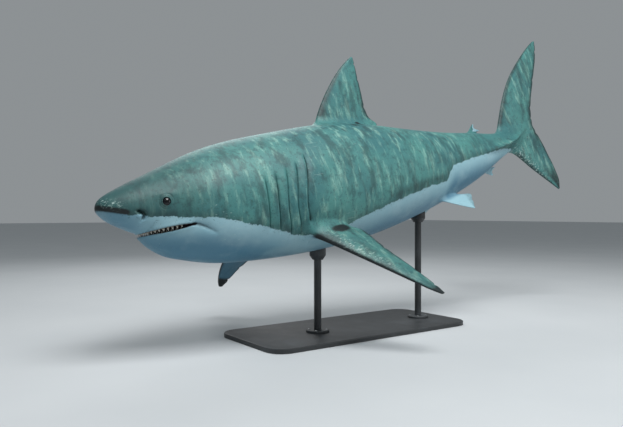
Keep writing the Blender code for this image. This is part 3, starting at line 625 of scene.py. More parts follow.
# %% [markdown]
# ## Fin roots
# Where a fin leaves the body the skin runs over in a soft curve, with muscle under it. Each fin
# is made thicker close to the body first. Then body and fins are joined into one closed skin
# with a boolean, and the seam is rubbed down like filler, more where the fin is big.

# %% Joining the fins
def over_body(points):
    """Distance of points over the smooth body, measured away from its middle line."""
    result = np.full(len(points), 99.0)
    turn = np.linspace(0, math.pi, 181)
    for first in range(0, len(points), 3000):
        block = points[first : first + 3000]
        level = spline(ROOTED, np.sqrt(np.clip(block[:, 0], 0, 88)))[:, 3]
        ring = body_point(np.clip(block[:, 0], 0, 88)[:, None], turn[None, :])
        across, up = np.abs(ring[..., 1]), ring[..., 2] - level[:, None]
        around = np.maximum.accumulate(np.arctan2(across, up), axis=1)
        radius = np.hypot(across, up)
        place = np.arctan2(np.abs(block[:, 1]), block[:, 2] - level)
        index = np.clip((around < place[:, None]).sum(axis=1), 1, 180)
        rows = np.arange(len(block))
        a, b = around[rows, index - 1], around[rows, index]
        t = np.clip((place - a) / np.maximum(b - a, 1e-9), 0, 1)
        skin = radius[rows, index - 1] * (1 - t) + radius[rows, index] * t
        result[first : first + 3000] = np.hypot(block[:, 1], block[:, 2] - level) - skin
    return np.where(points[:, 0] > 88, 99.0, result)


def mesh_object(name, points, faces):
    mesh = bpy.data.meshes.new(name)
    mesh.from_pydata([tuple(p) for p in points], [], [tuple(f) for f in faces])
    made = bpy.data.objects.new(name, mesh)
    bpy.context.scene.collection.objects.link(made)
    return made


def shape_of(points, faces):
    """A bmesh from points and faces."""
    raw = mesh_object("raw", points, faces)
    shape = bmesh.new()
    shape.from_mesh(raw.data)
    bpy.data.objects.remove(raw, do_unlink=True)
    return shape


def facing_out(shape):
    """Turns all faces of a closed bmesh outward."""
    bmesh.ops.recalc_face_normals(shape, faces=shape.faces)
    if shape.calc_volume(signed=True) < 0:
        bmesh.ops.reverse_faces(shape, faces=shape.faces)


def finish_net(shape, name):
    """Closes a bmesh into an object of triangles that face outward."""
    bmesh.ops.triangulate(shape, faces=shape.faces)
    facing_out(shape)
    made = mesh_object(name, [], [])
    shape.to_mesh(made.data)
    shape.free()
    return made


def thick_at_root(points, faces, radius):
    """Moves the surface of a fin outward close to the body."""
    shape = shape_of(points, faces)
    facing_out(shape)
    shape.normal_update()
    normals = np.array([v.normal for v in shape.verts])
    shape.free()
    share = np.clip(over_body(points) / radius, 0, 1)
    return points + normals * (0.45 * radius * (1 - share) ** 2.5)[:, None]


def build_fins():
    """All fins in one mesh, and where each of its points lies on its fin."""
    places, nets, notes = [], [], []
    start = 0
    for number, (name, (lead, trail, thickness, out)) in enumerate(FINS.items(), 1):
        steps, radius, wear = FIN_STEPS[name]
        rings = fin_rings(lead, trail, thickness, fray(len(lead), wear))
        points = np.concatenate(rings)
        faces = closed_net(rings)
        points = thick_at_root(points, faces, radius)
        round_fin = len(rings[0])
        row = np.repeat(np.arange(len(rings)), round_fin)
        share = np.minimum(row / (len(lead) - 1), 1.0)
        column = np.tile(np.arange(round_fin), len(rings))
        turn = np.minimum(column, round_fin - column) / CHORD_STEPS
        reach = np.interp(row, np.arange(len(out)), out)
        chord = (1 - np.cos(math.pi * turn)) / 2
        notes.append(np.column_stack([np.full(len(points), number), share, chord, reach]))
        places.append(points)
        nets += [tuple(start + i for i in face) for face in faces]
        start += len(points)
    shape = shape_of(np.concatenate(places), nets)
    return finish_net(shape, "fins"), np.concatenate(places), np.concatenate(notes)


def combined(thing, tool, operation):
    """Joins or cuts a closed mesh at once."""
    modifier = thing.modifiers.new(operation, "BOOLEAN")
    modifier.operation = operation
    modifier.object = tool
    modifier.solver = "EXACT"
    graph = bpy.context.evaluated_depsgraph_get()
    cut = bpy.data.meshes.new_from_object(thing.evaluated_get(graph))
    thing.modifiers.clear()
    thing.data = cut
    bpy.data.objects.remove(tool, do_unlink=True)
    shape = bmesh.new()
    shape.from_mesh(cut)
    bmesh.ops.remove_doubles(shape, verts=shape.verts, dist=0.4 * MM)
    bmesh.ops.dissolve_degenerate(shape, edges=shape.edges, dist=0.2 * MM)
    bmesh.ops.triangulate(shape, faces=shape.faces)
    shape.to_mesh(cut)
    shape.free()


skin = finish_net(net, "shark_skin")
fins, fin_points, fin_notes = build_fins()
combined(skin, fins, "UNION")
print("skin with fins:", len(skin.data.vertices), "points,", len(skin.data.polygons), "triangles")

# %% [markdown]
# ## The mouth
# The gap between the lips is a finger high. What shows is a dark slot with teeth in it, so it is
# cut as one curved channel, about 50 mm deep, that follows the lips from corner to corner and
# widens inside to make room for the gums. The palate and the throat stay solid, as no one can
# see them.

# %% Cutting the mouth
def lip_curve(side, count=120):
    """Edge of the upper (1) or lower (-1) lip, or their middle (0), from left corner to right."""
    share = np.linspace(0.0, 1.0, count) ** 2
    stations = MOUTH_FRONT[0] + share * (MOUTH_CORNER[0] - MOUTH_FRONT[0])
    heights = lip_height(stations) + side * lip_opening(stations) / 2
    half = np.array([(x, side_at(x, z), z) for x, z in zip(stations, heights)])
    half[0, 1] = 0.0
    left = half[::-1] * (1.0, -1.0, 1.0)
    return np.concatenate([left[:-1], half])


def evenly(curve, count):
    """The same curve in equal steps, with the level direction out of the mouth at each."""
    run = np.concatenate([[0.0], np.cumsum(np.linalg.norm(np.diff(curve, axis=0), axis=1))])
    places = np.linspace(0.0, run[-1], count)
    points = np.column_stack([np.interp(places, run, curve[:, k]) for k in range(3)])
    way = np.gradient(points, axis=0)
    out = np.column_stack([-way[:, 1], way[:, 0], 0 * places])
    out = -out if out[count // 2, 0] > 0 else out
    return points, out / np.linalg.norm(out, axis=1, keepdims=True), places


def mouth_channel():
    """Closed channel between the lips. Its section is distance in from the skin and height over
    the edge of the opening."""
    section = [(-0.7, 0), (0, 0), (0.12, 0), (0.3, 0.12), (0.6, 0.3), (1.0, 0.28), (1.5, 0.1)]
    middle, out, places = evenly(lip_curve(0), 161)
    share = np.abs(np.linspace(-1, 1, len(middle)))
    room = np.clip((1 - share) / 0.18, 0.0, 1.0)
    rings = []
    for point, way, free in zip(middle, out, room):
        half = max(float(lip_opening(point[0])) / 2, 0.012)
        upper = [(depth * (0.35 + 0.65 * free), half + lift * free) for depth, lift in section]
        upper[0] = (section[0][0], half)
        loop = upper + [(depth, -height) for depth, height in reversed(upper)]
        rings.append([point - way * depth + np.array([0.0, 0.0, height]) for depth, height in loop])
    return np.concatenate(rings), closed_net(rings), places


channel_points, channel_faces, _ = mouth_channel()
combined(skin, finish_net(shape_of(channel_points, channel_faces), "channel"), "DIFFERENCE")
print("mouth from corner to corner:", round(float(evenly(lip_curve(0), 9)[2][-1]) * UNIT, 3), "m")

# %% [markdown]
# ## Rubbing down the seams
# The boolean leaves a hard edge. Points near it are moved a little towards the middle of their
# neighbours, again and again, which is what a sanding block does. The mouth's edge gets only a
# few strokes over a few millimetres, which turns it into a lip.

# %% Soft seams
def nearest(places, wanted):
    """Index of the nearest place, and its distance, for each wanted point."""
    tree = KDTree(len(places))
    for index, place in enumerate(places):
        tree.insert(place, index)
    tree.balance()
    found = [tree.find(point) for point in wanted]
    return np.array([f[1] for f in found]), np.array([f[2] for f in found])


def mesh_points(thing):
    flat = np.empty(len(thing.data.vertices) * 3)
    thing.data.vertices.foreach_get("co", flat)
    return flat.reshape(-1, 3)


def mesh_triangles(thing):
    flat = np.empty(len(thing.data.polygons) * 3, int)
    thing.data.polygons.foreach_get("vertices", flat)
    return flat.reshape(-1, 3)


def rubbed(points, edges, weight, strokes):
    """Points moved towards the middle of their neighbours, as far as their weight says."""
    count = len(points)
    a, b = edges.T
    valence = np.bincount(a, minlength=count) + np.bincount(b, minlength=count)
    for _ in range(strokes):
        total = np.column_stack(
            [
                np.bincount(a, points[b, k], count) + np.bincount(b, points[a, k], count)
                for k in range(3)
            ]
        )
        points = points + weight[:, None] * (total / np.maximum(valence, 1)[:, None] - points)
    return points


# What each source point belongs to: 0 body, 1 to 8 the fins, 9 the mouth channel
source = np.concatenate([body_points, fin_points, channel_points])
MOUTH_REGION = 9
mouth_mark = np.full(len(channel_points), MOUTH_REGION)
region = np.concatenate([np.zeros(len(body_points)), fin_notes[:, 0], mouth_mark])
before = mesh_points(skin)
owner, away = nearest(source, before)
region_of = region[owner].astype(int)
edges = np.empty(len(skin.data.edges) * 2, int)
skin.data.edges.foreach_get("vertices", edges)
edges = edges.reshape(-1, 2)
across = region_of[edges[:, 0]] != region_of[edges[:, 1]]
lip_edge = across & (region_of[edges].max(axis=1) == MOUTH_REGION)
root_edge = across & ~lip_edge
root_points = before[np.unique(edges[root_edge])]
root_owner = region_of[edges[root_edge]].max(axis=1)
softness = {number: FIN_STEPS[name][1] for number, name in enumerate(FINS, 1)}
reach_at = np.zeros(len(before))
root_reach = np.repeat([softness[int(k)] for k in root_owner], 2)
np.maximum.at(reach_at, edges[root_edge].ravel(), root_reach)
reach_at = reach_at[np.unique(edges[root_edge])]
index, distance = nearest(root_points, before)
fade = 1 - smooth_step(0.3, 1.0, distance / reach_at[index])
after = rubbed(before, edges, 0.5 * fade, 14)
lip_points = before[np.unique(edges[lip_edge])]
_, distance = nearest(lip_points, before)
after = rubbed(after, edges, 0.45 * (1 - smooth_step(1.5 * MM, 7 * MM, distance)), 4)
print("seam points:", len(root_points), "at fins,", len(lip_points), "at the lips")

# %% [markdown]
# ## Where the colours go
# A white shark is slate on top and white below. The edge between the two is ragged and sudden,
# and runs at its own height along the body: low on the gills, high on the tail stock. The fins
# have their own rule: the pectorals are dark above and white below with black tips, the pelvics
# are mostly white, the others dark. Each point of the skin gets a few numbers that say this, and
# the material turns them into paint. They hang on the real shape, so every side is painted.

# %% Colour masks
# station and height of the edge between the dark back and the white belly
COLOUR_EDGE = (
    (0.0, -0.1), (0.6, -0.4), (1.7, -0.75), (3.0, -1.1), (5.2, -1.55),
    (8.5, -2.1), (12.5, -2.75), (14.4, -3.15), (17.8, -4.35), (21.6, -5.45),
    (23.7, -6.35), (27.0, -7.2), (31.0, -7.0), (36.0, -5.9), (41.5, -4.7),
    (48.4, -3.55), (52.5, -3.0), (57.2, -2.9), (58.3, -1.5), (59.7, -0.45),
    (66.8, -0.1), (75.5, -0.25), (80.0, -0.9), (84.0, -2.5), (88.0, -8.0),
)
count = len(after)
stations, sides, heights = after.T
depth = over_body(after)
owner_fin, _ = nearest(fin_points, after)
number, share, chord, reach = fin_notes[owner_fin].T
on_fin = (region_of >= 1) & (region_of <= 8)
fin_number = np.where(on_fin, region_of, 0)
names = ["body", *FINS]


def is_fin(*wanted):
    """1 for the points of these fins."""
    return np.isin(fin_number, [names.index(name) for name in wanted]).astype(float)


def vertex_normals(points, triangles):
    a, b, c = points[triangles[:, 0]], points[triangles[:, 1]], points[triangles[:, 2]]
    flat = np.cross(b - a, c - a)
    total = np.column_stack(
        [
            sum(np.bincount(triangles[:, i], flat[:, k], len(points)) for i in range(3))
            for k in range(3)
        ]
    )
    return total / np.maximum(np.linalg.norm(total, axis=1, keepdims=True), 1e-12)


triangles = mesh_triangles(skin)
normals = vertex_normals(after, triangles)
pectoral = is_fin("pectoral_left", "pectoral_right")
pelvic = is_fin("pelvic_left", "pelvic_right")
droop = {name: math.radians((PAIRED[name][2] + PAIRED[name][3]) / 2) for name in PAIRED}
tilt = np.array([droop.get(name, 0.0) for name in names])[fin_number]
topside = normals[:, 1] * np.sign(sides) * np.sin(tilt) + normals[:, 2] * np.cos(tilt)
topside = smooth_step(-0.35, 0.35, topside)
clear = on_fin * smooth_step(0.1, 1.6, depth)

edge_height = np.interp(stations, *np.array(COLOUR_EDGE).T)
line = heights - edge_height
# painted shade: the pectorals' white undersides are set far below the colour edge, so the belly's
# painted shade darkens them fully
line = line * (1 - pectoral * clear) + pectoral * clear * (6.5 * topside - 4.0)
line = line * (1 - pelvic * clear) - 0.6 * pelvic * clear
dorsal = is_fin("first_dorsal", "second_dorsal")
tail = is_fin("tail")
line = np.where(dorsal > 0, np.maximum(line, 3.0), line)
white_rear = is_fin("second_dorsal") * smooth_step(0.05, 0.45, depth)
white_rear = white_rear * smooth_step(0.12, 0.4, chord)
line = line * (1 - white_rear) - 1.4 * white_rear
lower_front = smooth_step(-1.0, -6.0, heights) * smooth_step(0.3, 0.0, chord)
line = line * (1 - tail) + tail * (3.0 - 1.5 * lower_front)
line = line * (1 - is_fin("anal")) - 1.5 * is_fin("anal")


def spot(x, z, long, tall, sharp=0.45):
    """An oval patch, 1 inside and 0 outside, with a soft edge."""
    away = np.hypot((stations - x) / long, (heights - z) / tall)
    return smooth_step(1.0 + sharp, 1.0 - sharp, away)


on_left = (sides < 0.3).astype(float)
dark = 0.8 * spot(30.9, -6.7, 1.8, 0.5) * (np.abs(sides) > 3.5)
dark = np.maximum(dark, spot(43.45, 8.85, 0.5, 0.42) * on_left)
dark = np.maximum(dark, 0.6 * spot(41.3, 8.5, 0.9, 0.35, 0.9) * on_left)
undertip = np.maximum(smooth_step(0.78, 0.9, share), smooth_step(0.93, 1.0, chord))
undertip = undertip * pectoral * (1 - topside)
dark = np.maximum(dark, undertip)
rim = is_fin("first_dorsal", "tail", "pectoral_left", "pectoral_right")
dark = np.maximum(dark, 0.55 * rim * clear * smooth_step(0.78, 1.0, chord))
dark = np.maximum(dark, 0.5 * rim * clear * smooth_step(0.2, 0.02, chord))
# painted shade: a dark line along the pectorals' leading edge, where the underside turns away from
# the light
dark = np.maximum(dark, 0.75 * pectoral * clear * smooth_step(0.05, 0.02, chord))
dark = np.maximum(dark, pectoral * topside * clear * (0.3 + 0.4 * smooth_step(0.8, 0.97, share)))
lower_lobe_tip = tail * smooth_step(-4.5, -11.5, heights) * smooth_step(0.1, 0.35, chord)
dark = np.maximum(dark, 0.55 * lower_lobe_tip)
under_tip = hump(line, 0.22, 0.36) * smooth_step(3.6, 2.4, stations)
dark = np.maximum(dark, under_tip * (fin_number == 0))
# dark along the lips: partly dusky lip margins, partly painted shade of the gap between them
lip_gap = np.abs(heights - lip_height(stations)) - lip_opening(stations) / 2
along_lip = smooth_step(4.6, 5.4, stations) * smooth_step(11.0, 10.2, stations)
dark = np.maximum(dark, 0.5 * hump(lip_gap, 0.0, 0.16) * along_lip * (fin_number == 0))
dark = np.maximum(dark, 0.2 * smooth_step(0.72, 0.55, from_lids(after)))
dark = np.maximum(dark, 0.35 * pelvic * clear * smooth_step(0.55, 0.9, chord))
band = 0.4 * hump(line, 0.9, 0.9) * smooth_step(38, 46, stations) * smooth_step(62, 57, stations)
dark = np.maximum(dark, band * (fin_number == 0))

pale = smooth_step(0.1, 0.5, stations) * smooth_step(3.0, 1.2, stations) * hump(line, 1.0, 0.5)
rubbed_top = hump(share, 0.52, 0.17) * hump(chord, 0.2, 0.14)
pale = np.maximum(pale, 0.85 * pectoral * topside * rubbed_top)
lower_lobe = smooth_step(0.5, -1.5, heights) * smooth_step(-12, -8, heights)
pale = np.maximum(pale, tail * lower_lobe * hump(chord, 0.08, 0.16))

on_head = smooth_step(30.0, 27.0, stations)
# painted shade: skin sunk below the smooth body on the head (gill slits, nostril, mouth furrow, eye
# socket) is painted near black, as shade falls there; the table sets its strength at each gill slit
recess_painted_shade = smooth_step(-0.1, -0.42, depth) * on_head * (region_of == 0)
slit_painted_shade = np.interp(stations, (18.0, 19.0, 25.2, 25.8, 29.0), (0.6, 0.28, 0.4, 1.0, 1.0))
recess_painted_shade = recess_painted_shade * slit_painted_shade
# the mouth's inner skin, dark red-brown: partly its own colour, partly painted shade, reaching full
# strength deeper inside the gap
mouth_lining_and_painted_shade = smooth_step(-0.05, -0.3, depth) * (region_of == MOUTH_REGION)
print("dark skin:", round(float((line > 0).mean()), 2), "of the points")

# %% [markdown]
# ## An unwrap for the colours
# The skin's colours are to be painted into one picture, so the skin has to be laid flat. The body
# is slit along the back and unrolled, with more room for the head. Each fin is pressed flat like
# a leaf, one side beside the other.

# %% Unwrap
BODY_BAND = 0.52
STRETCH = np.array(((0.0, 0.0), (14.0, 0.30), (28.0, 0.52), (60.0, 0.80), (101.0, 1.0)))
FLAT_SCALE = 0.0092


def chart_sizes(flat, charts):
    """Lowest corner and size of each chart."""
    sizes = {}
    for chart in np.unique(charts):
        if chart:
            corners = flat[charts == chart].reshape(-1, 2)
            sizes[int(chart)] = (corners.min(axis=0), np.ptp(corners, axis=0))
    return sizes


def shelf_places(sizes):
    """Lays the charts out in rows, the tallest first."""
    places = {}
    x, y, row = 0.004, BODY_BAND + 0.008, 0.0
    for chart, (_, size) in sorted(sizes.items(), key=lambda item: -item[1][1][1]):
        wide, tall = size * FLAT_SCALE
        if x + wide > 0.996:
            x, y, row = 0.004, y + row + 0.006, 0.0
        places[chart] = (x, y)
        x, row = x + wide + 0.006, max(row, tall)
    return places, y + row


def unwrapped():
    """Place on the flat picture of each corner of each triangle."""
    corner_region = np.sort(region_of[triangles], axis=1)
    one, two, three = corner_region.T
    face_region = np.where(one == two, two, three)
    face_region = np.where(two == three, two, face_region)
    a, b, c = (after[triangles[:, k]] for k in range(3))
    centre_turn = np.cross(b - a, c - a)
    tilts = np.array([droop.get(name, 0.0) for name in names] + [0.0])[face_region]
    hand = np.sign(after[triangles].mean(axis=1)[:, 1])
    over = centre_turn[:, 1] * hand * np.sin(tilts) + centre_turn[:, 2] * np.cos(tilts)
    is_paired = np.isin(face_region, [names.index(name) for name in PAIRED])
    over = np.where(is_paired, over, centre_turn[:, 1])
    is_body = face_region == 0
    charts = np.where(is_body, 0, 2 * face_region + (over > 0))
    charts = np.where(face_region == MOUTH_REGION, 18 + (centre_turn[:, 2] > 0), charts)
    out = np.where(np.isin(fin_notes[owner_fin][:, 0], [5, 6, 7, 8]), reach, heights)
    flat = np.stack([stations, out], -1)[triangles]
    in_mouth = face_region == MOUTH_REGION
    flat = np.where(in_mouth[:, None, None], np.stack([stations, sides], -1)[triangles], flat)
    level = spline(ROOTED, np.sqrt(np.clip(stations, 0, 88)))[:, 3]
    turn = (np.arctan2(sides, heights - level) / (2 * math.pi)) % 1.0
    turn = turn[triangles]
    turn = np.where((np.ptp(turn, axis=1, keepdims=True) > 0.5) & (turn < 0.5), turn + 1.0, turn)
    along = np.interp(stations, STRETCH[:, 0], STRETCH[:, 1])[triangles]
    uv = np.stack([0.004 + 0.992 * along, 0.004 + (BODY_BAND - 0.03) * turn], -1)
    sizes = chart_sizes(flat, charts)
    places, top = shelf_places(sizes)
    for chart, (low, _) in sizes.items():
        chosen = charts == chart
        uv[chosen] = (flat[chosen] - low) * FLAT_SCALE + places[chart]
    print("charts:", len(sizes) + 1, "top of the picture used:", round(float(top), 3))
    return uv


skin_uv = unwrapped()

# %% [markdown]
# ## The pose
# The middle line of the body is bent as a swimming shark bends it: the head turned a little to
# its left and raised, the tail raised. Then the whole animal is tipped nose down and banked.

# %% Pose
PIVOT, NOSE_DOWN, BANK = 40.0, math.radians(8.3), math.radians(6.3)
HEAD_FROM, HEAD_TURN, HEAD_LIFT = 30.0, math.radians(7.8), math.radians(3.9)
TAIL_FROM, TAIL_TO, TAIL_LIFT, TAIL_TURN = 48.0, 88.0, math.radians(11.5), math.radians(2.6)


def centre_line():
    """The body's bent middle line, with its heading at each station."""
    station = np.linspace(-5, 105, 1101)
    forward = np.clip((HEAD_FROM - station) / HEAD_FROM, 0, None)
    behind = np.clip((station - TAIL_FROM) / (TAIL_TO - TAIL_FROM), 0, 1)
    turn = HEAD_TURN * forward - TAIL_TURN * behind
    lift = -HEAD_LIFT * forward + TAIL_LIFT * behind
    way = np.column_stack([np.cos(lift) * np.cos(turn), np.cos(lift) * np.sin(turn), np.sin(lift)])
    line = np.cumsum(way, axis=0) * (station[1] - station[0])
    return station, line - line[np.argmin(np.abs(station - PIVOT))], turn, lift


def posed(points):
    """Straight body points, in body units, bent into the pose over the stand, in metres."""
    points = np.asarray(points, float)
    station, line, turn, lift = centre_line()
    x = points[:, 0]
    middle = np.column_stack([np.interp(x, station, line[:, k]) for k in range(3)])
    turn, lift = np.interp(x, station, turn), np.interp(x, station, lift)
    side = np.column_stack([-np.sin(turn), np.cos(turn), 0 * turn])
    way = np.column_stack([np.cos(lift) * np.cos(turn), np.cos(lift) * np.sin(turn), np.sin(lift)])
    bent = middle + side * points[:, 1:2] + np.cross(way, side) * points[:, 2:3]
    tilt = Matrix.Rotation(-NOSE_DOWN, 3, "Y") @ Matrix.Rotation(-BANK, 3, "X")
    return bent @ np.array(tilt).T * UNIT + np.array(pivot)


def place_points(thing, points):
    thing.data.vertices.foreach_set("co", posed(points).ravel())
    thing.data.update()


def note_points(thing, name, values):
    """Writes one number, or one vector, for each point of a mesh."""
    values = np.asarray(values, float)
    kind, field = ("FLOAT", "value") if values.ndim == 1 else ("FLOAT_VECTOR", "vector")
    made = thing.data.attributes.new(name, kind, "POINT")
    made.data.foreach_set(field, values.ravel())


place_points(skin, after)
note_points(skin, "straight", after * UNIT)
notes = {"line": line, "dark": dark, "pale": pale, "recess_painted_shade": recess_painted_shade, "mouth_lining_and_painted_shade": mouth_lining_and_painted_shade, "fin": clear}
notes["ray"] = share - 0.45 * chord
notes["thin"] = clear * smooth_step(0.3, 0.85, chord)
for name, values in notes.items():
    note_points(skin, name, values)
layer = skin.data.uv_layers.new(name="OFBake")
layer.data.foreach_set("uv", skin_uv.ravel())
skin.data.shade_smooth()
skin_box = np.array([mesh_points(skin).min(axis=0), mesh_points(skin).max(axis=0)])
print("skin's box, m:", np.round(skin_box, 3).tolist())

# %% [markdown]
# ## The eyes
# A white shark's eye looks black: a deep blue-black iris round a black pupil, under a clear and
# wet cornea that stands out a little. It is a ball of its own, set in the socket of the skin, and
# it stands for the eye of the solids. Its pole points out of the head, so that rings round the
# pole make the pupil and the iris.

# %% Eyeballs
EYE_SIDES, EYE_RINGS = 64, 40


def eye_frame(hand):
    """Middle of the eyeball and the way that it looks, on one side of the straight head."""
    spot = EYE_SPOT * (1.0, -hand, 1.0)
    centre = spot - np.array([0.0, hand * EYE_SINK, 0.0])
    look = np.array([-0.32, hand * 0.93, 0.16])
    return centre, look / np.linalg.norm(look)


def build_eye(name, hand):
    centre, look = eye_frame(hand)
    across = np.cross(look, (0.0, 0.0, 1.0))
    across /= np.linalg.norm(across)
    up = np.cross(across, look)
    tilt = np.linspace(0, math.pi, EYE_RINGS + 1)[:, None]
    turn = np.linspace(0, 2 * math.pi, EYE_SIDES, endpoint=False)[None, :]
    radius = (EYE_RADIUS - 0.004) * (1 + 0.025 * np.exp(-((tilt / 0.42) ** 2)))
    circle = np.cos(turn[0])[:, None] * across + np.sin(turn[0])[:, None] * up
    rings = [
        centre + r * (math.cos(t) * look + math.sin(t) * circle)
        for t, r in zip(tilt[1:-1, 0], radius[1:-1, 0])
    ]
    points = [centre + radius[0, 0] * look, *np.concatenate(rings), centre - radius[-1, 0] * look]
    last = len(points) - 1
    faces = [(0, 1 + i, 1 + (i + 1) % EYE_SIDES) for i in range(EYE_SIDES)]
    faces += [f for f in closed_net(rings)[:-2]]
    faces = [f if len(f) == 3 and f[0] == 0 else tuple(i + 1 for i in f) for f in faces]
    edge = last - EYE_SIDES
    faces += [(last, edge + (i + 1) % EYE_SIDES, edge + i) for i in range(EYE_SIDES)]
    shape = shape_of(points, faces)
    facing_out(shape)
    made = mesh_object(name, [], [])
    shape.to_mesh(made.data)
    shape.free()
    way = np.array(points) - centre
    off = np.arccos(np.clip(way @ look / np.linalg.norm(way, axis=1), -1, 1))
    local = way @ np.stack([across, up, look], -1)
    place_points(made, np.array(points))
    note_points(made, "off_axis", off)
    note_points(made, "eye_place", local)
    made.data.shade_smooth()
    return made


eyes = {"left": build_eye("eyeball_left", -1.0), "right": build_eye("eyeball_right", 1.0)}
for side, eye in eyes.items():
    low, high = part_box("eye_" + side)
    middle = (low + high) / 2
    mine = mesh_points(eye)
    gap = np.linalg.norm((mine.min(axis=0) + mine.max(axis=0)) / 2 - np.array(middle)) * 1000
    print("eye", side, "is", round(float(gap), 2), "mm from its solid")

# %% [markdown]
# ## Teeth and gums
# The upper teeth are broad triangles with saw edges, the lower ones are narrower and stand more
# upright. Each is a flat blade, thick in the middle, set in a swollen gum. They are cut by hand
# in a real model, one by one. Here one blade is drawn from a few sections and set along the lips
# in its true size, smaller towards the corners of the mouth.

# %% Teeth
# name, side of the mouth, count each side, part of the lip filled, crown, width, distance behind
TOOTH_ROWS = (("upper", 1.0, 11, 0.8, 0.86, 0.48, 0.3), ("lower", -1.0, 10, 0.78, 0.72, 0.38, 0.5))
TOOTH_TAPER = 0.45
SAW = 0.7 * MM  # real saw points are half this size


def tooth_blade(crown, width, lean):
    """Points of a blade in (along the lip, out, up), and its faces."""
    rises = np.concatenate([[-0.55, -0.25], np.linspace(0.0, 0.97, 17)])
    across = np.array([-1.0, -0.7, -0.3, 0.3, 0.7, 1.0, 0.7, 0.3, -0.3, -0.7])
    facing = np.array([0, 1, 1, 1, 1, 0, -1, -1, -1, -1])
    rings = []
    for i, rise in enumerate(rises):
        t = max(rise, 0.0)
        half = width / 2 * (1 - t) ** 0.9 * (1.0 + 0.12 * hump(rise, -0.1, 0.15))
        half += SAW / 2 * (1 if i % 2 else -1) * (0.1 < rise < 0.93) * (1 - 0.5 * t)
        thick = width * 0.17 * (1 - 0.75 * t)
        out = facing * thick * (1 - 0.75 * across**2) * np.where(facing > 0, 0.75, 1.1)
        shift = lean * width * t**1.3
        height = crown * rise if rise > 0 else 0.3 * rise
        rings.append(np.column_stack([across * half + shift, out - 0.06 * t, np.full(10, height)]))
    tip = np.array([[lean * width, -0.06, crown]] * 10)
    return np.concatenate([*rings, tip]), closed_net([*rings, tip])


def build_teeth(row):
    """Blades along both halves of one jaw, in one mesh."""
    name, side, count, part, crown, width, inset = row
    curve, outs, places = evenly(lip_curve(side), 801)
    middle, half = places[-1] / 2, places[-1] / 2
    points, faces = [], []
    for hand in (-1.0, 1.0):
        for i in range(count):
            spot = middle + hand * (i + 0.5) / count * half * part
            here = np.array([np.interp(spot, places, curve[:, k]) for k in range(3)])
            out = np.array([np.interp(spot, places, outs[:, k]) for k in range(3)])
            up = np.array([0.0, 0.0, -side])
            along = np.cross(out, up) * -side
            size = (1.0 - TOOTH_TAPER * i / count) * (0.95 + 0.1 * math.sin(3.7 * i + hand))
            tall = crown * float(lip_opening(here[0])) * (0.93 + 0.1 * math.sin(5.1 * i + 2 * hand))
            blade, sides = tooth_blade(tall, width * size * 1.04, 0.16 * hand * (0.4 + i / count))
            start = len(points)
            base = here - out * inset
            points += [base + along * p[0] + out * p[1] + up * p[2] for p in blade]
            faces += [tuple(start + k for k in face) for face in sides]
    made = mesh_object(name + "_teeth", points, faces)
    shape = bmesh.new()
    shape.from_mesh(made.data)
    bmesh.ops.remove_doubles(shape, verts=shape.verts, dist=0.02 * MM)
    facing_out(shape)
    shape.to_mesh(made.data)
    shape.free()
    straight = mesh_points(made)
    place_points(made, straight)
    lip = lip_height(straight[:, 0]) + side * lip_opening(straight[:, 0]) / 2
    note_points(made, "from_gum", (lip - straight[:, 2]) * side * UNIT)
    made.data.shade_smooth()
    made.data.set_sharp_from_angle(angle=math.radians(35))
    return made


def build_gum(row):
    """A swollen ridge that follows the lip inside, fuller round each tooth."""
    name, side, count, part, _, _, inset = row
    curve, outs, places = evenly(lip_curve(side), 401)
    middle = places[-1] / 2
    used = np.abs(places - middle) < middle * 0.93
    curve, outs, places = curve[used], outs[used], places[used]
    phase = (places - middle) / (middle * part) * count
    swell = 1 + 0.16 * np.cos(2 * math.pi * (phase - 0.5))
    ends = np.sqrt(np.clip((1 - np.abs(places - middle) / (middle * 0.93)) / 0.06, 0.03, 1))
    turn = np.linspace(0, 2 * math.pi, 14, endpoint=False)
    rings = []
    for point, out, fat, end in zip(curve, outs, swell, ends):
        centre = point - out * (inset + 0.08) + np.array([0.0, 0.0, side * 0.17])
        ring = centre + 0.2 * end * np.cos(turn)[:, None] * out
        rings.append(ring + (0.17 * fat * end * np.sin(turn))[:, None] * np.array([0.0, 0.0, 1.0]))
    made = finish_net(shape_of(np.concatenate(rings), closed_net(rings)), name + "_gum")
    place_points(made, mesh_points(made))
    made.data.shade_smooth()
    return made


teeth = [build_teeth(row) for row in TOOTH_ROWS]
gums = [build_gum(row) for row in TOOTH_ROWS]
print("teeth:", 2 * sum(row[2] for row in TOOTH_ROWS))

# %% [markdown]
# ## Finishes
# One function turns the colours that a painter would name on a screen into the linear light that
# a shader counts in, and one function adds a node with its settings and its links.

# %% Helpers for finishes
def linear(code):
    """sRGB hex colour as linear light."""
    parts = [int(code[i : i + 2], 16) / 255 for i in (1, 3, 5)]
    return (*[c / 12.92 if c <= 0.04045 else ((c + 0.055) / 1.055) ** 2.4 for c in parts], 1.0)


def add(tree, kind, inputs=None, **settings):
    """A shader node with its settings, and its inputs set to numbers or linked to outputs."""
    node = tree.nodes.new("ShaderNode" + kind)
    for name, value in settings.items():
        setattr(node, name, value)
    for name, value in (inputs or {}).items():
        if isinstance(value, bpy.types.NodeSocket):
            tree.links.new(value, node.inputs[name])
        else:
            node.inputs[name].default_value = value
    return node


def finish(name, **constants):
    """A new material, its node tree and its shader, with the shader's constant values."""
    made = bpy.data.materials.new(name)
    made.use_nodes = True
    shader = made.node_tree.nodes["Principled BSDF"]
    for socket, value in constants.items():
        shader.inputs[socket.replace("_", " ")].default_value = value
    return made, made.node_tree, shader


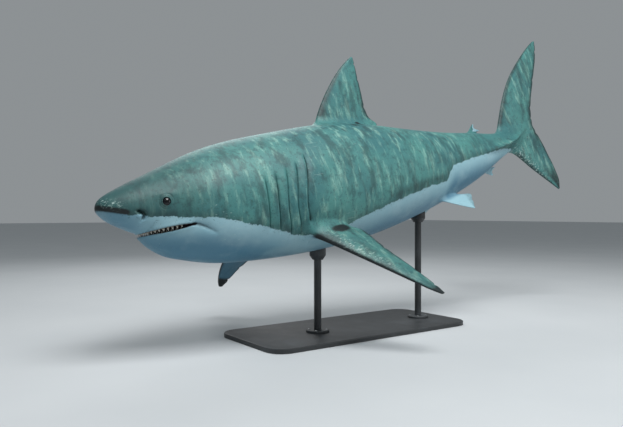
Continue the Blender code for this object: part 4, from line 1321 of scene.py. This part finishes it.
# %% [markdown]
# ## Shark skin
# The skin is clothed in denticles, tiny ribbed scales a quarter of a millimetre long, so it looks
# matt like fine sandpaper, with a soft satin light where it is wet. The denticles are far too
# fine to show, so they are drawn ten times as coarse, as a grain in the bump. The back is
# green-grey in upright blotches, the belly a cool blue-white: the colours of a shark in blue
# water, kept in the paint. The blotches are partly the skin's own mottling and partly painted
# light and shade, pale upright stripes for light from the water's surface and dark ones for the
# shade of ripples. The belly deepens downward and under the snout as painted shade. Small dark
# pores dot the snout, faint scratches of other teeth cross the flank, and thin ribs in the rear
# of the fins show the rods inside.

# %% Skin finish
skin_gloss = {"IOR": 1.4, "Coat_Weight": 0.06, "Coat_Roughness": 0.4}
skin_finish, tree, shader = finish("shark_skin_denticled", **skin_gloss)
straight = add(tree, "Attribute", attribute_name="straight").outputs["Vector"]
mask = {}
for name in notes:
    mask[name] = add(tree, "Attribute", attribute_name=name).outputs["Fac"]


def cloud(size_mm, detail=4.0, rough=0.6, stretch=(1, 1, 1), offset=(0, 0, 0)):
    """Soft noise on the straight body with blotches of a real size."""
    inputs = {"Vector": straight, "Scale": stretch, "Location": offset}
    moved = add(tree, "Mapping", inputs).outputs[0]
    inputs = {"Vector": moved, "Scale": 1000 / size_mm, "Detail": detail, "Roughness": rough}
    return add(tree, "TexNoise", inputs).outputs["Fac"]


def sum_of(a, b, operation="ADD", clamp=False):
    return add(tree, "Math", {0: a, 1: b}, operation=operation, use_clamp=clamp).outputs[0]


def stepped(value, low, high, bottom=0.0, top=1.0):
    inputs = {"Value": value, "From Min": low, "From Max": high, "To Min": bottom, "To Max": top}
    return add(tree, "MapRange", inputs, interpolation_type="SMOOTHSTEP").outputs[0]


def layered(under, over, amount):
    inputs = {0: amount, 6: under, 7: over}
    return add(tree, "Mix", inputs, data_type="RGBA", clamp_factor=True).outputs[2]


def product(a, b):
    return sum_of(a, b, "MULTIPLY", True)


place = add(tree, "SeparateXYZ", {"Vector": straight}).outputs
from_middle = sum_of(place["Y"], 0.0, "ABSOLUTE")
on_flank = sum_of(stepped(from_middle, 0.02, 0.11), mask["fin"], "MAXIMUM")
broad = cloud(260, 3)
# partly skin mottling, partly painted light and shade: pale upright stripes stand for light from
# the water's surface, dark ones for the shade of ripples
mottle_and_painted_shade_bars = cloud(58, 5, 0.62, stretch=(1.0, 0.6, 0.34))
mottle_and_painted_light_streaks = cloud(30, 5, 0.62, stretch=(1.0, 0.5, 0.2), offset=(0, 0, 3))
mottle = cloud(34, 6, 0.68, offset=(1, 0, 0))
fine = cloud(8, 3, 0.7)
ragged = sum_of(sum_of(cloud(38, 7, 0.74, offset=(3, 0, 0)), -0.5), 1.3, "MULTIPLY")
edge = sum_of(mask["line"], ragged)
is_back = stepped(edge, -0.06, 0.06)

back = layered(linear("#33676a"), linear("#4a847f"), stepped(broad, 0.3, 0.7))
back = layered(back, linear("#8db8aa"), product(stepped(mottle_and_painted_light_streaks, 0.5, 0.72, 0.0, 0.6), on_flank))
back = layered(back, linear("#213f41"), product(stepped(mottle_and_painted_shade_bars, 0.47, 0.66, 0.0, 0.62), on_flank))
back = layered(back, linear("#26464a"), stepped(mottle, 0.5, 0.66, 0.0, 0.5))
back = layered(back, linear("#8fb3a6"), stepped(fine, 0.58, 0.75, 0.0, 0.22))
on_head = stepped(place["X"], 0.58, 0.16)
back = layered(back, linear("#1c383c"), product(on_head, 0.64))
back = layered(back, linear("#16292b"), stepped(mask["line"], 1.3, 0.0, 0.0, 0.35))
# painted shade: the belly's white darkens to blue-grey further below the colour edge and under the
# snout, where less light reaches
under_snout_painted_shade = stepped(place["X"], 0.22, 0.06, 0.0, 0.8)
belly_painted_shade = sum_of(stepped(mask["line"], -0.3, -3.8), under_snout_painted_shade, "ADD", True)
belly = layered(linear("#8bb2bd"), linear("#4c7a90"), belly_painted_shade)
belly = layered(belly, linear("#a9c4c9"), stepped(cloud(120, 4, 0.55), 0.45, 0.75, 0.0, 0.25))
paint = layered(belly, back, is_back)

freckles = stepped(cloud(9, 2, 0.5, offset=(0, 5, 0)), 0.62, 0.68)
near_edge = stepped(mask["line"], -1.3, -0.1)
paint = layered(paint, linear("#28413f"), product(product(freckles, near_edge), 0.45))
rakes = stepped(cloud(5, 2, 0.5, stretch=(0.05, 1, 1), offset=(9, 0, 0)), 0.66, 0.72)
raked = stepped(cloud(140, 3, 0.5, offset=(0, 0, 9)), 0.56, 0.64)
paint = layered(paint, linear("#a9c4bd"), product(product(rakes, raked), 0.4))
# the dark marks: real spots, black tips and dark rims, and the painted shade along the pectorals'
# leading edges and the lips
broken = stepped(cloud(26, 6, 0.7), 0.35, 0.6, -0.22, 0.22)
dark_marks_and_painted_shade = stepped(sum_of(mask["dark"], product(mask["dark"], broken)), 0.05, 0.75)
dark_marks_and_painted_shade = product(dark_marks_and_painted_shade, stepped(mask["dark"], 0.0, 0.7, 0.35, 1.0))
paint = layered(paint, linear("#0f1a1c"), dark_marks_and_painted_shade)
flakes = stepped(cloud(9, 4, 0.7, stretch=(0.45, 1, 1.3), offset=(7, 0, 0)), 0.54, 0.62)
paint = layered(paint, linear("#b9d3cd"), product(product(mask["pale"], flakes), 0.75))
cells = add(tree, "TexVoronoi", {"Vector": straight, "Scale": 1000 / 11}).outputs["Distance"]
pores = product(stepped(cells, 0.17, 0.09), stepped(place["X"], 0.36, 0.22))
pores = product(pores, stepped(cloud(60, 2, 0.5, offset=(0, 7, 0)), 0.46, 0.56))
paint = layered(paint, linear("#1d3236"), product(pores, 0.6))
# the mouth's inner skin, darkened as painted shade of the gap
paint = layered(paint, linear("#3a282b"), mask["mouth_lining_and_painted_shade"])
# painted shade in the sunk skin of the head
paint = layered(paint, linear("#0a0f10"), product(mask["recess_painted_shade"], 0.92))
tree.links.new(paint, shader.inputs["Base Color"])

roughness = stepped(fine, 0.2, 0.8, 0.46, 0.6)
roughness = sum_of(roughness, sum_of(mask["mouth_lining_and_painted_shade"], -0.2, "MULTIPLY"))
tree.links.new(roughness, shader.inputs["Roughness"])
grain_inputs = {"Vector": straight, "Scale": 1000 / 2.5}
grain = add(tree, "TexVoronoi", grain_inputs).outputs["Distance"]
ray_place = add(tree, "CombineXYZ", {"X": sum_of(mask["ray"], 130.0, "MULTIPLY")}).outputs[0]
ray = add(tree, "TexNoise", {"Vector": ray_place, "Scale": 1.0, "Detail": 1.0}).outputs["Fac"]
# what stands out, how strongly, how far in metres, and whether it is sunk instead
reliefs = (
    (cloud(90, 3), 0.25, 0.006, False),
    (product(ray, mask["thin"]), 0.5, 0.0012, False),
    (pores, 0.5, 0.001, True),
    (grain, 0.18, 0.0012, False),
)
bumped = {}
for raised, strength, metres, sunk in reliefs:
    inputs = {"Height": raised, "Strength": strength, "Distance": metres, **bumped}
    bumped = {"Normal": add(tree, "Bump", inputs, invert=sunk).outputs[0]}
tree.links.new(bumped["Normal"], shader.inputs["Normal"])
skin.data.materials.clear()
skin.data.materials.append(skin_finish)

# %% [markdown]
# ## Wet eye, tooth and gum
# The eye is gloss over near black, with a faint ring of dark blue where the iris begins. Teeth
# are enameloid: hard, a little translucent, ivory at the gum and whiter at the tip, both greyed
# and darkened here as painted shade inside the mouth. Gums are wet and dull pink with a fine
# grain.

# %% Eye, tooth and gum finishes
eye_gloss = {"IOR": 1.376, "Roughness": 0.2, "Coat_Weight": 0.2, "Coat_Roughness": 0.05}
eye_finish, tree, shader = finish("eye_wet_cornea", **eye_gloss)
off_axis = add(tree, "Attribute", attribute_name="off_axis").outputs["Fac"]
eye_place = add(tree, "Attribute", attribute_name="eye_place").outputs["Vector"]
fibre_inputs = {"Vector": eye_place, "Scale": 9.0, "Detail": 5.0, "Roughness": 0.7}
fibre = add(tree, "TexNoise", fibre_inputs).outputs["Fac"]
iris = layered(linear("#030507"), linear("#091118"), stepped(fibre, 0.35, 0.7))
colour = layered(linear("#020304"), iris, stepped(off_axis, 0.34, 0.40))
colour = layered(colour, linear("#05070a"), stepped(off_axis, 0.62, 0.72))
tree.links.new(colour, shader.inputs["Base Color"])
for eye in eyes.values():
    eye.data.materials.append(eye_finish)

tooth_finish, tree, shader = finish("tooth_enameloid", IOR=1.62, Roughness=0.22, Coat_Weight=0.3)
from_gum = add(tree, "Attribute", attribute_name="from_gum").outputs["Fac"]
spots = add(tree, "TexNoise", {"Scale": 240.0, "Detail": 4.0}).outputs["Fac"]
# painted shade: both tooth colours are greyed and darkened for the shade inside the mouth
colour = layered(linear("#857d6d"), linear("#b3b3a9"), stepped(from_gum, 0.0, 0.008))
colour = layered(colour, linear("#a8946d"), stepped(spots, 0.55, 0.8, 0.0, 0.35))
tree.links.new(colour, shader.inputs["Base Color"])
for row in teeth:
    row.data.materials.append(tooth_finish)

gum_finish, tree, shader = finish("gum_wet_tissue", IOR=1.4, Coat_Weight=0.4, Coat_Roughness=0.2)
grain = add(tree, "TexNoise", {"Scale": 420.0, "Detail": 4.0}).outputs["Fac"]
colour = layered(linear("#7c5256"), linear("#a37a78"), stepped(grain, 0.3, 0.7))
tree.links.new(colour, shader.inputs["Base Color"])
tree.links.new(stepped(grain, 0.2, 0.8, 0.28, 0.45), shader.inputs["Roughness"])
bump = add(tree, "Bump", {"Height": grain, "Strength": 0.3, "Distance": 0.0006})
tree.links.new(bump.outputs[0], shader.inputs["Normal"])
for gum in gums:
    gum.data.materials.append(gum_finish)

# %% [markdown]
# ## The stand
# Museum stands are cut from steel plate and tube, welded, blasted and powder coated. Powder melts
# to an even skin with a faint orange peel, so it shines softly and hides the weld. The base,
# flanges, rods and saddles of the solids have their true shape and keep it. Small screws that
# hold the flanges down are added here.

# %% Stand finish
steel_finish, tree, shader = finish("steel_powder_coated", IOR=1.5)
where = add(tree, "NewGeometry").outputs["Position"]
peel = add(tree, "TexNoise", {"Vector": where, "Scale": 1000 / 1.6, "Detail": 2.0}).outputs["Fac"]
dust = add(tree, "TexNoise", {"Vector": where, "Scale": 1000 / 160, "Detail": 6.0}).outputs["Fac"]
colour = layered(linear("#26292b"), linear("#3a3e41"), stepped(dust, 0.45, 0.75))
tree.links.new(colour, shader.inputs["Base Color"])
tree.links.new(stepped(dust, 0.3, 0.7, 0.38, 0.52), shader.inputs["Roughness"])
bump = add(tree, "Bump", {"Height": peel, "Strength": 0.12, "Distance": 0.0004})
tree.links.new(bump.outputs[0], shader.inputs["Normal"])
for name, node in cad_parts.items():
    if name.startswith("stand_"):
        node.data.materials.clear()
        node.data.materials.append(steel_finish)


def ring_at(radius, turn, z):
    return np.column_stack([radius * np.cos(turn), radius * np.sin(turn), z + 0 * turn])


def screw(place, radius, height):
    """Round head with a hexagon socket, as rings from the rim to the bottom of the socket."""
    turn = np.linspace(0, 2 * math.pi, 36, endpoint=False)
    profile = [(radius, 0.0), (radius, 0.35 * height), (0.9 * radius, 0.75 * height)]
    profile += [(0.65 * radius, 0.97 * height), (0.55 * radius, height)]
    rings = [ring_at(r, turn, z) for r, z in profile]
    hexagon = 0.46 * radius / np.cos((turn % (math.pi / 3)) - math.pi / 6)
    rings += [ring_at(hexagon, turn, z) for z in (0.98 * height, 0.4 * height)]
    return [ring + place for ring in rings]


SCREW_RADIUS, SCREW_HEIGHT = 0.0055, 0.0035  # m


def build_screws(which):
    """Four screws on one flange."""
    low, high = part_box("stand_flange_" + which)
    centre = (low + high) / 2
    spread = (high.x - low.x) / 2 * 0.74
    points, faces = [], []
    for i in range(4):
        turn = math.pi / 4 + i * math.pi / 2
        place = ring_at(spread, np.array([turn]), high.z)[0] + (centre.x, centre.y, 0.0)
        rings = screw(place, SCREW_RADIUS, SCREW_HEIGHT)
        start = len(points)
        points += list(np.concatenate(rings))
        faces += [tuple(start + k for k in face) for face in closed_net(rings)]
    made = mesh_object("screws_" + which, points, faces)
    made.data.shade_smooth()
    made.data.set_sharp_from_angle(angle=math.radians(30))
    return made


screw_finish, tree, shader = finish("stainless_steel_rolled", Metallic=1.0)
where = add(tree, "NewGeometry").outputs["Position"]
scratch = add(tree, "TexNoise", {"Vector": where, "Scale": 1500.0, "Detail": 3.0}).outputs["Fac"]
tree.links.new(layered(linear("#8f9496"), linear("#b7babb"), scratch), shader.inputs["Base Color"])
tree.links.new(stepped(scratch, 0.2, 0.8, 0.22, 0.4), shader.inputs["Roughness"])
screws = [build_screws(which) for which in ("front", "rear")]
for piece in screws:
    piece.data.materials.append(screw_finish)

# %% [markdown]
# ## Floor and light
# A plain pale floor and a pale room, one broad soft light high in front, a weaker one from the
# other side and one from behind for the upper edge. The belly is lit only by the floor, as it is
# over pale ground.

# %% Floor and light
REACH = 40  # m to each side
corners = [(-REACH, -REACH, 0), (REACH, -REACH, 0), (REACH, REACH, 0), (-REACH, REACH, 0)]
floor = mesh_object("floor", corners, [(0, 1, 2, 3)])
floor.location.z = -0.0005
floor_finish, tree, shader = finish("painted_floor", Roughness=0.75)
where = add(tree, "NewGeometry").outputs["Position"]
worn = add(tree, "TexNoise", {"Vector": where, "Scale": 1.5, "Detail": 6.0}).outputs["Fac"]
tree.links.new(layered(linear("#b9bec1"), linear("#c4c8ca"), worn), shader.inputs["Base Color"])
floor.data.materials.append(floor_finish)

room = bpy.data.worlds.new("room")
bpy.context.scene.world = room
room.use_nodes = True
room.node_tree.nodes["Background"].inputs["Color"].default_value = linear("#dfe6ea")
room.node_tree.nodes["Background"].inputs["Strength"].default_value = 0.36


def soft_light(name, place, size, watts):
    lamp = bpy.data.objects.new(name, bpy.data.lights.new(name, "AREA"))
    bpy.context.scene.collection.objects.link(lamp)
    lamp.data.size = size
    lamp.data.energy = watts
    lamp.location = place
    aim = Vector((0.0, 0.0, 0.8)) - Vector(place)
    lamp.rotation_euler = aim.to_track_quat("-Z", "Y").to_euler()
    return lamp


soft_light("key", (-0.9, -2.3, 4.8), 2.6, 270)
soft_light("fill", (3.2, -3.6, 2.2), 3.0, 35)
soft_light("rear", (0.5, 3.6, 3.8), 3.0, 80)

# %% [markdown]
# ## Putting it together
# Every piece rides on the one body. The skin stands for all the solids of flesh, each eyeball for
# its own solid.

# %% Assembly
fleshy = [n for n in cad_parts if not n.startswith(("stand_", "eye_"))]
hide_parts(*fleshy)
for side, eye in eyes.items():
    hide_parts("eye_" + side)
pieces = [skin, *eyes.values(), *teeth, *gums, *screws]
for piece in pieces:
    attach(piece, "root")
print("pieces:", {piece.name: len(piece.data.polygons) for piece in pieces})
